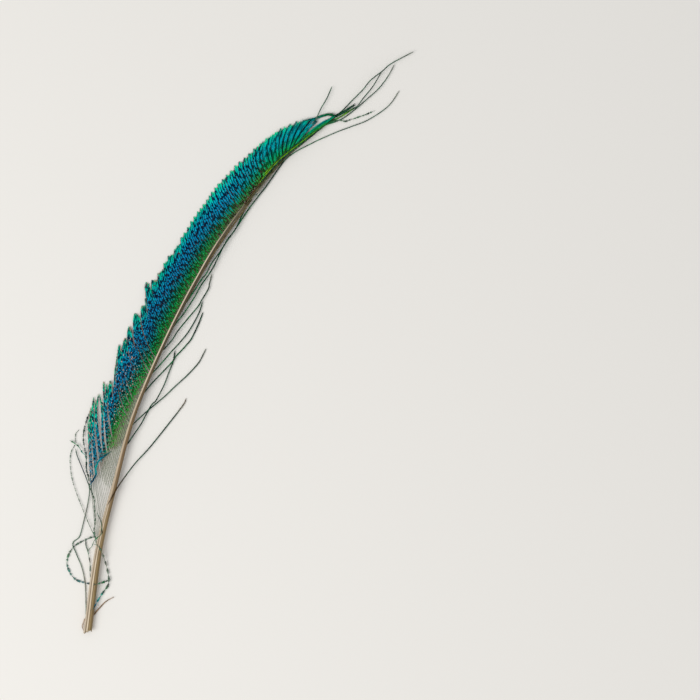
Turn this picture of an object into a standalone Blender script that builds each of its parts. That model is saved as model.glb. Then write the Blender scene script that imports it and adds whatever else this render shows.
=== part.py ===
"""A peacock sword feather, lying on a flat surface with its glossy side up, as one solid.

It grew as one piece: a tapering shaft, a one-sided vane of locks along its left, and thin loose
herls. The tables below give the feather as it lies on a page, in millimetres: +X right, +Y up
the page, +Z off it, and the quill's cut end at (0, 0). An empty then turns and shifts that page
so that +Y runs from the quill to the tip, with the origin under the middle of the feather.
"""

import math

import bmesh
import bpy
import numpy as np

MM = 0.001

# The page's turn and shift, which put the feather along +Y and centred on the origin.
LEAN_DEG = 29.3
PAGE_SHIFT = (27.9, -165.4)

# Shaft: its centre line on the page, its width by distance from the cut end, and its height.
SHAFT_ROUTE = [
    (0, 0), (5.5, 40), (13.5, 72.5), (24, 110), (42.5, 152.5),
    (61.8, 188), (83.8, 218.8), (95.5, 233.3), (106, 242.9), (125.5, 258.3),
]
SHAFT_WIDTHS = [(0, 4.1), (25, 4.0), (56, 3.2), (80, 2.5), (115, 2.1), (205, 1.6), (260, 1.0), (296, 0.5)]
SHAFT_HEIGHT_RATIO = 0.75
CUT_SLANT = 0.9  # how much further the quill's left side reaches than its right
RING_STEP = 7.0

# The shaft lies on its first stretch and its tip, and arches between them.
FLAT_END = 9.0
ARCH_MIDDLE = 150.0
ARCH_HEIGHT = 2.8

# Half of the shaft's cross-section, as shares of its width and height: flat below, ridged above.
SECTION_HALF = [(0.30, 0.0), (0.50, 0.35), (0.42, 0.75), (0.14, 1.0)]

# Vane: (distance along the shaft of a lock's root, its tip x, its tip y, the angle at which it
# leaves the shaft in degrees, how many locks from here to the next row). The first and the last
# row are the vane's two ends, and locks stand on and between the others.
VANE_ROWS = [
    (38, -0.6, 101.0, 16, 1), (43, 0.5, 108.5, 20, 1), (56, 2.2, 117.2, 24, 1),
    (66, 4.5, 116.5, 26, 1), (79, 7.9, 125.3, 28, 1), (88, 10.2, 123.6, 32, 1),
    (97, 12.8, 129.3, 37, 1), (107, 14.8, 142.5, 42, 1), (115, 17.7, 145.4, 46, 1),
    (123, 20.0, 150.0, 51, 1), (131.5, 22.3, 157.7, 55, 1), (140, 26.3, 161.5, 59, 1),
    (147, 29.2, 164.8, 61, 1), (152, 29.2, 173.8, 63, 1), (158, 32.0, 174.1, 65, 1),
    (164, 34.9, 177.5, 67, 1), (169, 37.8, 182.2, 68, 1), (174, 40.0, 186.5, 69, 1),
    (180, 42.9, 189.3, 70, 1), (187, 46.4, 195.4, 72, 1), (192, 49.2, 199.4, 72, 2),
    (200, 53.6, 206.8, 73, 5), (222, 65.0, 222.5, 76, 4), (235, 74.6, 232.5, 76, 2),
    (243, 81.3, 238.4, 74, 2), (250, 87.3, 244.2, 72, 2), (256, 91.6, 247.4, 68, 2),
    (260, 95.4, 250.0, 64, 1), (263, 98.2, 251.4, 58, 1), (265.5, 102.8, 253.2, 46, 1),
    (268, 106.4, 254.6, 32, 1), (270, 112.8, 255.7, 18, 1), (273, 118.5, 254.6, 9, 1),
    (279, 123.2, 257.2, 6, 1), (284, 124.5, 257.9, 4, 1),
]
LOCK_BEND = 0.55  # how far along its reach a lock keeps the direction in which it left the shaft
# Each lock's free tip, by its root's distance along the shaft: deep slits below, fine teeth above.
SLITS = [(43, 26), (107, 20), (131, 18), (152, 12), (170, 5), (200, 2.6), (300, 2.2)]
SLIT_MOST = 0.6  # a slit's largest share of its barb
BODY_ROWS = 6  # faces along a lock from the shaft to where it parts from its neighbours
TIP_SHOULDER = 0.55  # where a lock's free tip narrows, as a share of that tip
SHOULDER_WIDTH = 0.6
VANE_THICKNESS = 0.32
LOCK_CROWN = 0.28  # a lock's middle stands this much above the grooves beside it
VANE_SIDE = 0.45  # where the vane leaves the shaft's side, as a share of the shaft's height
VANE_FALL = 1.4  # the power with which the vane comes down from the shaft to the page
CAMBER_SHARE = 0.06
CAMBER_MOST = 1.1
EDGE_LIFTS = [(0, 0.0), (240, 0.0), (268, 0.5), (300, 0.5)]  # the vane's edge off the page, by root

# Loose herls as (x, y, z) from root to tip: thin strands that the wind has parted from the vane.
HERL_STEP = 4.0
HERL_RADIUS = 0.34
HERL_TIP_RATIO = 0.6
CAP_MERGE = 0.01  # points of a strand's filled ends closer than this are one
HERL_ROUTES = {
    "right_crossing": [
        (10.2, 63.2, 3.7), (13, 68.2, 4.2), (16.5, 74, 3.2), (23.4, 83.5, 1.6), (31.9, 93, 0.9),
        (35.7, 96.8, 0.8), (46.5, 111.5, 0.6), (49, 116, 0.5),
    ],
    "right_long": [
        (21.5, 102, 3.0), (24.3, 104.9, 2.6), (30, 110.2, 1.8), (37.7, 116.7, 1.1), (43.3, 122, 0.9),
        (50, 128.2, 0.7), (54.9, 133.6, 0.6), (57.4, 137.8, 0.5), (58.9, 140.9, 0.5),
    ],
    "right_short": [
        (18.7, 91.5, 3.0), (22.4, 97.2, 2.4), (26.5, 103.3, 1.6), (31.2, 112, 1.0), (34.2, 115.5, 1.9),
        (37.9, 122.5, 1.3), (40.4, 129, 0.8), (42.5, 134.5, 0.6), (43.5, 139.8, 0.5),
    ],
    "right_second": [
        (26.2, 116.5, 3.2), (31.7, 123.3, 2.4), (36.7, 128.7, 1.8), (41.7, 134, 1.3), (44.2, 137.4, 1.1),
        (48.3, 141.9, 0.9), (51.6, 146, 0.7), (54.9, 152.7, 0.6), (57.4, 158.9, 0.5),
    ],
    "right_third": [
        (30.7, 127, 3.4), (36.7, 133.6, 2.6), (41.3, 139, 2.0), (45.8, 144, 1.5), (49.5, 148.5, 1.2),
        (52.9, 153.9, 1.0), (55.8, 159.7, 0.8), (57.2, 164.3, 0.7),
    ],
    "right_fourth": [
        (36, 138.5, 3.4), (41.7, 144.8, 2.7), (45, 149.8, 2.2), (49.5, 155.5, 1.8), (54.5, 161.5, 1.4),
        (57, 165.5, 1.2), (59.9, 170.5, 1.0), (60.7, 173.1, 0.9), (61.9, 177.9, 0.8),
    ],
    "twisted_outer": [
        (38.3, 144, 3.5), (43.2, 152.3, 2.9), (48, 158.6, 2.4), (52.9, 166, 2.2), (56.7, 172.7, 2.0),
        (62.3, 181, 1.9), (67.7, 191.8, 1.8), (72, 198.3, 1.6), (76.4, 204.8, 1.4), (80.7, 211.3, 1.3),
        (85.6, 217.8, 1.1), (89.4, 222.7, 1.0), (97, 233.5, 0.8), (101, 238, 0.8),
    ],
    "twisted_inner": [
        (46, 159.5, 3.5), (49, 163.7, 3.2), (52.9, 169.4, 2.9), (56.7, 175.2, 2.6), (59.2, 178.5, 2.5),
        (62.3, 184.1, 2.9), (66.6, 190.1, 2.8), (69.9, 195.6, 2.4), (74.2, 201.5, 2.2), (79.6, 213.2, 2.0),
        (81.3, 216.2, 1.9),
    ],
    "tip_low": [
        (96.8, 234.2, 1.0), (103.5, 239.3, 0.8), (110.8, 243.2, 0.7), (116.1, 245.8, 0.7),
        (124.7, 249.5, 0.8), (131.4, 252, 0.9), (139, 254.9, 1.0), (146.7, 259.6, 1.0),
        (151.5, 263.9, 0.8), (155.5, 269.9, 0.6),
    ],
    "tip_longest": [
        (121, 255.2, 0.5), (126.6, 259.6, 0.8), (131.9, 264.9, 1.2), (137.2, 270.2, 1.6), (141.2, 275, 1.9),
        (146.7, 279.3, 2.1), (151.8, 283.5, 2.0), (162.5, 289.3, 1.6),
    ],
    "tip_fork": [
        (124, 257, 0.6), (131.4, 260.5, 0.9), (134.3, 262, 1.1), (137.7, 266.3, 1.4), (142.4, 272.1, 1.8),
        (146.9, 279.5, 2.1),
    ],
    "tip_arc": [
        (119, 252.9, 0.6), (126.6, 255.8, 0.7), (133.3, 260.5, 0.9), (139, 265.4, 1.0), (145.3, 271.1, 1.1),
        (150, 277.3, 1.0), (153, 282.8, 0.8),
    ],
    "tip_beaded": [
        (117.5, 251.5, 0.6), (122, 252.4, 0.6), (127.6, 254.9, 0.7), (131.4, 255.8, 0.7), (135.7, 257, 0.7),
        (139, 258.2, 0.6), (143.4, 260.1, 0.6),
    ],
    "tip_upright": [
        (104, 241.2, 1.0), (105.5, 246.2, 1.7), (110.4, 251, 1.9), (113.7, 255.3, 1.8), (116.5, 261, 1.7),
        (119.5, 266.3, 1.6), (121.9, 271.8, 1.4),
    ],
    "tip_dark": [(114, 249, 0.7), (121, 255.5, 1.0), (127.5, 259.3, 1.2), (132.9, 262.7, 1.2)],
    "tip_light": [(116, 250.5, 0.6), (119.5, 253.5, 0.9), (126.6, 257.2, 1.0), (133.3, 261.5, 1.0)],
    "tip_curl": [
        (104.5, 241.6, 0.9), (105.2, 248, 1.3), (106.5, 252.8, 1.2), (109, 254.6, 1.0), (112.5, 255.8, 0.8),
        (117.6, 257.5, 0.8), (120.6, 257.8, 0.8), (124, 257.3, 0.7),
    ],
    "low_bundle": [
        (4.6, 43, 2.6), (3.4, 50, 2.6), (3.9, 55.1, 2.7), (3.6, 62.3, 2.7), (3.4, 66.3, 2.6),
        (1.3, 72, 2.4), (0.5, 77.3, 2.1), (-0.6, 81.1, 1.9), (-0.6, 87.3, 1.6), (-1.4, 91, 1.4),
        (-2.2, 96.8, 1.1), (-1.4, 102.5, 0.8), (0.5, 108.7, 0.6),
    ],
    "low_bundle_tip": [
        (-0.2, 79.5, 1.9), (-0.9, 87.3, 1.8), (-2.5, 89.2, 1.5), (-4.8, 92.6, 1.1), (-7.1, 94.2, 0.8),
        (-9, 95.3, 0.6),
    ],
    "low_bow": [
        (4.8, 43, 1.9), (3.4, 47.6, 1.5), (1.8, 50.9, 1.2), (-0.8, 56.7, 0.9), (-2.8, 61.7, 0.8),
        (-5.7, 69.1, 0.7), (-7.8, 75.8, 0.6), (-8.5, 79.9, 0.6), (-8.9, 85.7, 0.6), (-8.2, 89.9, 0.6),
        (-6.4, 93.5, 0.6), (-6.2, 98.2, 0.5), (-4.5, 100.6, 0.5),
    ],
    "low_kinked": [
        (-0.9, 4.5, 0.8), (-0.9, 9.4, 0.6), (-1, 15.2, 0.5), (-1.2, 21.9, 0.5), (-2, 27.7, 0.5),
        (-3.3, 32.7, 0.5), (-5.7, 38.5, 0.5), (-7.4, 43.8, 0.5), (-4.1, 47.6, 0.6), (-1.6, 56.7, 0.7),
        (0.1, 64.2, 0.8), (0.9, 70.8, 1.2), (-0.3, 75.5, 1.5), (-2.5, 81, 1.2), (-5.2, 87.5, 0.8),
        (-6, 91, 1.0),
    ],
    "low_loop": [
        (5.6, 44.6, 2.0), (3.4, 47.2, 2.3), (-1.6, 45.5, 1.2), (-6.6, 42.6, 0.9), (-9.1, 39.3, 0.6),
        (-10.3, 36, 0.5), (-10.3, 32.7, 0.45), (-8.6, 28.5, 0.45), (-5.7, 25.6, 0.45), (-1.6, 24.2, 0.45),
        (1.4, 23.7, 0.45), (3.4, 23.7, 0.45), (7.6, 24.4, 0.45), (10.5, 25.4, 0.45),
    ],
    "low_hoop": [
        (3.6, 43.6, 3.2), (5.1, 43.2, 4.1), (7.2, 40.1, 3.6), (8.4, 36, 1.6), (9.7, 31, 0.8),
        (10.5, 26, 1.0), (9.9, 22.7, 0.8), (7.6, 19.4, 0.8), (5.5, 16.1, 1.2), (3.4, 12.3, 2.5),
        (1.6, 10.6, 3.2),
    ],
    "low_hook": [
        (5, 59.2, 3.1), (6.9, 55, 3.7), (7.4, 50.9, 4.0), (7, 48.6, 3.9), (3.8, 45.9, 2.8),
        (2.2, 42.6, 1.6), (0.1, 40.1, 0.9), (0.5, 37.6, 0.7), (1.1, 33.5, 0.6), (1.1, 29.3, 0.6),
        (1.4, 26, 0.8),
    ],
    "low_stub": [(0.4, 38.6, 0.8), (0.0, 40.1, 0.8), (-0.8, 42.6, 0.6), (-1.2, 45.9, 0.5)],
    "fallen_teal": [
        (12, 89.9, 3.5), (9.7, 88.4, 3.2), (6.7, 86.1, 3.0), (4.8, 82.7, 3.0), (4.4, 79.2, 2.9),
        (3.2, 76.2, 2.7), (2, 74.6, 2.7),
    ],
    "splinter": [(1.4, 6.6, 1.0), (2.9, 8.2, 0.8), (5.9, 11.7, 0.5), (9, 14.8, 0.5), (13, 17.1, 0.6)],
}

VANE_GREEN = (0.02, 0.22, 0.16, 1.0)
SHARP_EDGE_DEG = 40


def clear_scene():
    for old in list(bpy.data.objects):
        bpy.data.objects.remove(old, do_unlink=True)


def feather_material():
    material = bpy.data.materials.new("feather_barbs")
    material.use_nodes = True
    shader = material.node_tree.nodes["Principled BSDF"]
    shader.inputs["Base Color"].default_value = VANE_GREEN
    shader.inputs["Roughness"].default_value = 0.45
    shader.inputs["Metallic"].default_value = 0.3
    return material


def smooth_curve(points, steps=16):
    """A Catmull-Rom curve: it passes through every point and bends evenly between them."""
    inner = np.array(points, float)
    whole = np.vstack([2 * inner[0] - inner[1], inner, 2 * inner[-1] - inner[-2]])
    before, start, end, after = whole[:-3, None], whole[1:-2, None], whole[2:-1, None], whole[3:, None]
    u = np.linspace(0, 1, steps, endpoint=False)[None, :, None]
    curve = 2 * start + (end - before) * u
    curve = curve + (2 * before - 5 * start + 4 * end - after) * u**2
    curve = curve + (3 * start - before - 3 * end + after) * u**3
    return np.vstack([curve.reshape(-1, inner.shape[1]) / 2, inner[-1]])


def distances(curve):
    return np.concatenate([[0], np.cumsum(np.linalg.norm(np.diff(curve, axis=0), axis=1))])


def resample(curve, step):
    """Points about one step apart along the curve, both its ends among them."""
    along = distances(curve)
    count = max(3, round(along[-1] / step) + 1)
    wanted = np.linspace(0, along[-1], count)
    return np.column_stack([np.interp(wanted, along, axis) for axis in curve.T])


def table(rows, at, column=1):
    """Reads a column of a table by its first column, straight between its rows."""
    rows = np.array(rows, float)
    return np.interp(at, rows[:, 0], rows[:, column])


SHAFT_LINE = smooth_curve(SHAFT_ROUTE, steps=80)
SHAFT_ALONG = distances(SHAFT_LINE)
SHAFT_LENGTH = SHAFT_ALONG[-1]


def shaft_point(s):
    return np.column_stack([np.interp(s, SHAFT_ALONG, axis) for axis in SHAFT_LINE.T])


def shaft_heading(s, reach=0.5):
    """The shaft's direction at distance s, as an angle from the page's +X."""
    ahead = shaft_point(np.minimum(s + reach, SHAFT_LENGTH))
    behind = shaft_point(np.maximum(s - reach, 0))
    return np.arctan2(*(ahead - behind).T[::-1])


def shaft_underside(s):
    """A low arch that rests on the page at both ends and is flat below the quill's end."""
    half = ARCH_MIDDLE - FLAT_END
    return ARCH_HEIGHT * np.maximum(0, 1 - ((s - ARCH_MIDDLE) / half) ** 2)


def shaft_height(s):
    return SHAFT_HEIGHT_RATIO * table(SHAFT_WIDTHS, s)


def shaft_section():
    """The closed cross-section as (across, up) shares, from the flat underside round to it."""
    right = SECTION_HALF
    left = [(-across, up) for across, up in reversed(SECTION_HALF)]
    return np.array(right + left)


def mesh_object(name, points_mm, faces):
    mesh = bpy.data.meshes.new(name)
    mesh.from_pydata((np.asarray(points_mm) * MM).tolist(), [], faces)
    bm = bmesh.new()
    bm.from_mesh(mesh)
    bmesh.ops.recalc_face_normals(bm, faces=bm.faces)
    bm.to_mesh(mesh)
    bm.free()
    piece = bpy.data.objects.new(name, mesh)
    bpy.context.scene.collection.objects.link(piece)
    return piece


def make_shaft():
    """Rings of the section along the shaft: the first two stretches lie flat."""
    arched = np.linspace(FLAT_END, SHAFT_LENGTH, round((SHAFT_LENGTH - FLAT_END) / RING_STEP))
    s = np.concatenate([[0, FLAT_END / 2], arched])
    section = shaft_section()
    across = table(SHAFT_WIDTHS, s)[:, None] * section[:, 0]
    up = shaft_underside(s)[:, None] + shaft_height(s)[:, None] * section[:, 1]
    heading = shaft_heading(s)[:, None]
    centre = shaft_point(s)
    slant = np.zeros(len(s))
    slant[0] = CUT_SLANT / SHAFT_WIDTHS[0][1]
    forward = across * slant[:, None]
    x = centre[:, :1] + across * np.sin(heading) + forward * np.cos(heading)
    y = centre[:, 1:] - across * np.cos(heading) + forward * np.sin(heading)
    points = np.stack([x, y, up], axis=2).reshape(-1, 3)
    sides = len(section)
    faces = [tuple(range(sides)), tuple(range(len(points) - sides, len(points)))]
    for ring in range(len(s) - 1):
        for side in range(sides):
            a = ring * sides + side
            b = ring * sides + (side + 1) % sides
            faces.append((a, b, b + sides, a + sides))
    return mesh_object("feather", points, faces)


def lock_places():
    """Each lock's place in VANE_ROWS as a row number with a fraction, evenly spaced inside a row."""
    places = []
    for row, values in enumerate(VANE_ROWS):
        places.extend(row + step / values[4] for step in range(values[4]))
    return np.array(places[1:])


def barb_points(place, share):
    """Points on the barbs at these places in the vane, at these shares of their reach.

    In plan a barb is a quadratic Bezier curve: it leaves the shaft at the table's angle, keeps
    that direction for LOCK_BEND of its reach, and ends on the vane's edge. It comes down from
    the shaft's side to the page, with a little camber. The result is (place, share, xyz).
    """
    rows = np.arange(len(VANE_ROWS))
    values = np.array(VANE_ROWS, float)
    s, tip_x, tip_y, angle = (np.interp(place, rows, values[:, c])[:, None] for c in range(4))
    root = shaft_point(s[:, 0])
    root_x, root_y = root[:, :1], root[:, 1:]
    reach = np.hypot(tip_x - root_x, tip_y - root_y)
    turn = shaft_heading(s[:, 0])[:, None] + np.radians(angle)
    bend_x = root_x + np.cos(turn) * reach * LOCK_BEND
    bend_y = root_y + np.sin(turn) * reach * LOCK_BEND
    t = share
    x = (1 - t) ** 2 * root_x + 2 * t * (1 - t) * bend_x + t**2 * tip_x
    y = (1 - t) ** 2 * root_y + 2 * t * (1 - t) * bend_y + t**2 * tip_y
    side = shaft_underside(s) + VANE_SIDE * shaft_height(s)
    camber = np.minimum(CAMBER_SHARE * reach, CAMBER_MOST)
    z = side * (1 - t) ** VANE_FALL + camber * 4 * t * (1 - t) + table(EDGE_LIFTS, s)
    return np.stack([x, y, z], axis=2)


def slit_share(place):
    """The share of a barb's reach at which its lock parts from the next one."""
    rows = np.arange(len(VANE_ROWS))
    values = np.array(VANE_ROWS, float)
    s = np.interp(place, rows, values[:, 0])
    barbs = barb_points(place, np.array([[0.0, 1.0]]))
    reach = np.linalg.norm(barbs[:, 1] - barbs[:, 0], axis=1)
    return 1 - np.minimum(table(SLITS, s) / reach, SLIT_MOST)


def vane_grid():
    """The vane's upper surface: columns of grooves and crowns by turns, then each lock's tip.

    Returns the body grid (column, row, xyz), and for each lock its left and right shoulder, the
    middle of its shoulder, and its tip.
    """
    locks = lock_places()
    grooves = np.concatenate([[0], (locks[:-1] + locks[1:]) / 2, [len(VANE_ROWS) - 1]])
    columns = np.empty(2 * len(locks) + 1)
    columns[0::2] = grooves
    columns[1::2] = locks
    parting = slit_share(columns)
    share = parting[:, None] * np.linspace(0, 1, BODY_ROWS + 1)
    body = barb_points(columns, share)
    body[1::2, 1:, 2] += LOCK_CROWN
    lock_parting = parting[1::2]
    shoulder_share = lock_parting + (1 - lock_parting) * TIP_SHOULDER
    ends = barb_points(locks, np.column_stack([shoulder_share, np.ones(len(locks))]))
    middle = ends[:, 0]
    tip = ends[:, 1]
    left = middle + (body[0:-1:2, -1] - body[1::2, -1]) * SHOULDER_WIDTH
    right = middle + (body[2::2, -1] - body[1::2, -1]) * SHOULDER_WIDTH
    middle[:, 2] += LOCK_CROWN * SHOULDER_WIDTH
    return body, left, middle, right, tip


def make_vane():
    """A thin closed sheet: upper and lower surface, joined round the shaft side and every lock."""
    body, left, middle, right, tip = vane_grid()
    columns, rows = body.shape[:2]
    upper = np.vstack([body.reshape(-1, 3), left, middle, right, tip])
    upper[:, 2] += VANE_THICKNESS
    lower = upper.copy()
    lower[:, 2] -= VANE_THICKNESS
    crowned = np.zeros(len(upper), bool)
    crowned[: columns * rows].reshape(columns, rows)[1::2, 1:] = True
    lower[crowned, 2] -= LOCK_CROWN
    locks = len(tip)
    first_left = columns * rows
    first_middle = first_left + locks
    first_right = first_middle + locks
    first_tip = first_right + locks
    lower[first_middle:first_right, 2] -= LOCK_CROWN * SHOULDER_WIDTH
    lower[:, 2] = np.maximum(lower[:, 2], 0)
    under = len(upper)

    faces = []

    def sheet(*corners):
        faces.append(corners)
        faces.append(tuple(under + c for c in reversed(corners)))

    def wall(a, b):
        faces.append((a, b, under + b, under + a))

    for column in range(columns - 1):
        wall((column + 1) * rows, column * rows)
        for row in range(rows - 1):
            a = column * rows + row
            b = a + rows
            sheet(a, b, b + 1, a + 1)
    for row in range(rows - 1):
        wall(row, row + 1)
        last = (columns - 1) * rows + row
        wall(last + 1, last)
    for lock in range(locks):
        groove_a = 2 * lock * rows + rows - 1
        crown = groove_a + rows
        groove_b = crown + rows
        shoulder_a = first_left + lock
        ridge = first_middle + lock
        shoulder_b = first_right + lock
        end = first_tip + lock
        sheet(groove_a, crown, ridge, shoulder_a)
        sheet(crown, groove_b, shoulder_b, ridge)
        sheet(shoulder_a, ridge, end)
        sheet(ridge, shoulder_b, end)
        outline = (groove_a, shoulder_a, end, shoulder_b, groove_b)
        for a, b in zip(outline, outline[1:]):
            wall(a, b)
    return mesh_object("vane", np.vstack([upper, lower]), faces)


def make_herl(name, route):
    """A thin strand along its route, tapering to its tip: a bevelled curve with filled caps."""
    points = resample(smooth_curve(route), HERL_STEP)
    curve = bpy.data.curves.new(name, "CURVE")
    curve.dimensions = "3D"
    curve.bevel_depth = HERL_RADIUS * MM
    curve.bevel_resolution = 0
    curve.use_fill_caps = True
    spline = curve.splines.new("POLY")
    spline.points.add(len(points) - 1)
    taper = np.linspace(1, HERL_TIP_RATIO, len(points))
    for point, place, radius in zip(spline.points, points * MM, taper):
        point.co = (*place, 1)
        point.radius = radius
    guide = bpy.data.objects.new(name + "_curve", curve)
    mesh = bpy.data.meshes.new_from_object(guide)
    bpy.data.objects.remove(guide, do_unlink=True)
    bm = bmesh.new()
    bm.from_mesh(mesh)
    bmesh.ops.remove_doubles(bm, verts=bm.verts, dist=CAP_MERGE * MM)
    bmesh.ops.recalc_face_normals(bm, faces=bm.faces)
    bm.to_mesh(mesh)
    bm.free()
    herl = bpy.data.objects.new(name, mesh)
    bpy.context.scene.collection.objects.link(herl)
    return herl


def page_empty():
    page = bpy.data.objects.new("page", None)
    page.rotation_euler.z = math.radians(LEAN_DEG)
    page.location = (PAGE_SHIFT[0] * MM, PAGE_SHIFT[1] * MM, 0)
    bpy.context.scene.collection.objects.link(page)
    return page


def fuse(body, grown):
    """Joins what grew from the body to it, and leaves the joined shapes as hidden guides."""
    group = bpy.data.collections.new("grown_from_shaft")
    bpy.context.scene.collection.children.link(group)
    for piece in grown:
        group.objects.link(piece)
        bpy.context.scene.collection.objects.unlink(piece)
        piece.hide_render = True
        piece.display_type = "WIRE"
    union = body.modifiers.new("grown_as_one", "BOOLEAN")
    union.operation = "UNION"
    union.solver = "EXACT"
    union.operand_type = "COLLECTION"
    union.collection = group


def make_feather():
    clear_scene()
    page = page_empty()
    feather = make_shaft()
    grown = [make_vane()]
    for name, route in HERL_ROUTES.items():
        grown.append(make_herl(name, route))
    for piece in [feather, *grown]:
        piece.parent = page
    fuse(feather, grown)
    feather.data.materials.append(feather_material())
    feather.data.shade_smooth()
    feather.data.set_sharp_from_angle(angle=math.radians(SHARP_EDGE_DEG))


make_feather()
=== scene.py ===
# %% [markdown]
# # A peacock sword feather, lying flat
#
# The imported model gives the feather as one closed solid: shaft, locks and loose strands fused. It
# is right in size and place, but a feather's look is made of far finer things: some hundred and
# fifty barbs, and on each of them hundreds of barbules, the tiny blades that carry the colour.
# Blender's hair would draw them, but hair is lost when a model is exported. So every blade here is
# a small closed mesh, worked out with numpy in whole arrays, on the very curves that the solid uses.

# %% Load the fixed frame
import math

import bpy
import numpy as np
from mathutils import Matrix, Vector


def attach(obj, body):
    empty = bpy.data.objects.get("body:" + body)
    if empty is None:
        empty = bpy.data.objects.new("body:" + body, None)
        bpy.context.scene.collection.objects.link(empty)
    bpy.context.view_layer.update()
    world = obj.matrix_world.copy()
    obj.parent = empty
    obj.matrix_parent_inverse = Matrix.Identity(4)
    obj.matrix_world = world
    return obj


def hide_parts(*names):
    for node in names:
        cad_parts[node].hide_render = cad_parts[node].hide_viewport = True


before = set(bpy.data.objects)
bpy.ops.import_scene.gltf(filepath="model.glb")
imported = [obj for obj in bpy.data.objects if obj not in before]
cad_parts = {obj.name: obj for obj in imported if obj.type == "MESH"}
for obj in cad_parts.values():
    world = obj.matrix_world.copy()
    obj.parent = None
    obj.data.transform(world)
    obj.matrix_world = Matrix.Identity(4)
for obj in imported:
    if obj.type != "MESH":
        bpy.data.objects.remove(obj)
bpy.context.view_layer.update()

# %% [markdown]
# ## From the page to the world
#
# The feather was measured on a page in millimetres: +X right, +Y up the page, +Z off it, with the
# quill's cut end at (0, 0). The solid was then turned so that it runs along +Y. Every route below
# is kept in page millimetres, because those are easy to compare with the photograph, and one
# function turns them into the frame's metres at the very end.

# %% Page millimetres to frame metres
MM = 0.001
LEAN_DEG = 29.3
PAGE_SHIFT = (27.9, -165.4)


def to_frame(points_mm):
    """Turns page points by LEAN_DEG about +Z, shifts them by PAGE_SHIFT, and scales them to metres."""
    turn = math.radians(LEAN_DEG)
    x, y, z = np.moveaxis(np.asarray(points_mm, float), -1, 0)
    across = x * math.cos(turn) - y * math.sin(turn) + PAGE_SHIFT[0]
    along = x * math.sin(turn) + y * math.cos(turn) + PAGE_SHIFT[1]
    return np.stack([across, along, z], axis=-1) * MM


print("quill's end in the frame, m:", np.round(to_frame([0, 0, 0]), 4))

# %% [markdown]
# ## Curves and tables
#
# Everything in the feather follows a few given points. A Catmull-Rom curve passes through
# all of them and bends evenly between, which suits a shaft or a strand better than straight runs.

# %% Smooth curves and tables
def smooth_curve(points, steps=24):
    """Catmull-Rom: for each span, a cubic whose ends are two route points and whose end slopes
    are half the vector between the points on either side."""
    inner = np.array(points, float)
    whole = np.vstack([2 * inner[0] - inner[1], inner, 2 * inner[-1] - inner[-2]])
    before, start, end, after = whole[:-3, None], whole[1:-2, None], whole[2:-1, None], whole[3:, None]
    u = np.linspace(0, 1, steps, endpoint=False)[None, :, None]
    curve = 2 * start + (end - before) * u
    curve = curve + (2 * before - 5 * start + 4 * end - after) * u**2
    curve = curve + (3 * start - before - 3 * end + after) * u**3
    return np.vstack([curve.reshape(-1, inner.shape[1]) / 2, inner[-1]])


def distances(curve):
    """Distance along the curve of each of its points."""
    return np.concatenate([[0], np.cumsum(np.linalg.norm(np.diff(curve, axis=0), axis=1))])


def at_distance(curve, along, wanted):
    """Points at these distances along the curve, straight between its own points."""
    return np.stack([np.interp(wanted, along, axis) for axis in curve.T], axis=-1)


def table(rows, at, column=1):
    """A column of a table read by its first column, straight between its rows."""
    rows = np.array(rows, float)
    return np.interp(at, rows[:, 0], rows[:, column])


def unit(vectors):
    """The same vectors with length 1."""
    return vectors / np.maximum(np.linalg.norm(vectors, axis=-1, keepdims=True), 1e-9)


def smoothstep(low, high, x):
    """0 below low, 1 above high, and 3x^2 - 2x^3 between them."""
    share = np.clip((x - low) / (high - low), 0, 1)
    return share * share * (3 - 2 * share)


bend = smooth_curve([(0, 0), (1, 1), (2, 0)])
print("length of a smooth bend through three points:", round(float(distances(bend)[-1]), 3))

# %% [markdown]
# ## One way to make every mesh
#
# Numpy arrays go into a Blender mesh with foreach_set, which copies them in one call. Each piece
# also carries a UV map and vector attributes, which tell its material where on the feather a point
# lies. The UV map unrolls the piece: u runs along each strand, and each strand has a row of its
# own in v, so a pattern drawn in it follows the strand.

# %% Arrays into a mesh
def mesh_piece(name, points_mm, faces, uv, marks, material, slot, smooth=True):
    """A mesh object from page points, triangles, a UV for each point, and named marks on points."""
    mesh = bpy.data.meshes.new(name)
    mesh.vertices.add(len(points_mm))
    mesh.vertices.foreach_set("co", to_frame(points_mm).astype(np.float32).ravel())
    mesh.loops.add(faces.size)
    mesh.loops.foreach_set("vertex_index", faces.astype(np.int32).ravel())
    mesh.polygons.add(len(faces))
    mesh.polygons.foreach_set("loop_start", np.arange(0, faces.size, 3, dtype=np.int32))
    mesh.update(calc_edges=True)
    layer = mesh.uv_layers.new(name="OFBake")
    layer.uv.foreach_set("vector", np.clip(uv, 0, 1)[faces.ravel()].astype(np.float32).ravel())
    for mark, values in marks.items():
        attribute = mesh.attributes.new(mark, "FLOAT_VECTOR", "POINT")
        attribute.data.foreach_set("vector", values.astype(np.float32).ravel())
    mesh.materials.append(material)
    if smooth:
        mesh.shade_smooth()
    else:
        mesh.shade_flat()
    piece = bpy.data.objects.new(name, mesh)
    bpy.context.scene.collection.objects.link(piece)
    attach(piece, "root")
    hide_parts("feather")
    print(f"{name}: {len(faces)} triangles")


# %% [markdown]
# ## Colours and small node helpers
#
# Materials are graphs of nodes, and writing them by hand takes many lines. A few helpers keep them
# short: each adds one kind of node, fills its sockets with values or links, and gives back what
# comes out of it. Colours are written as 0 to 255 like those of any paint program, and turned to
# the linear values that Blender wants.

# %% Node helpers
def paint(red, green, blue):
    """An sRGB colour of 0 to 255 as linear RGBA: ((c + 0.055) / 1.055)^2.4 above the toe."""
    coded = np.array([red, green, blue]) / 255
    linear = np.where(coded > 0.04045, ((coded + 0.055) / 1.055) ** 2.4, coded / 12.92)
    return (*linear.tolist(), 1.0)


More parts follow.
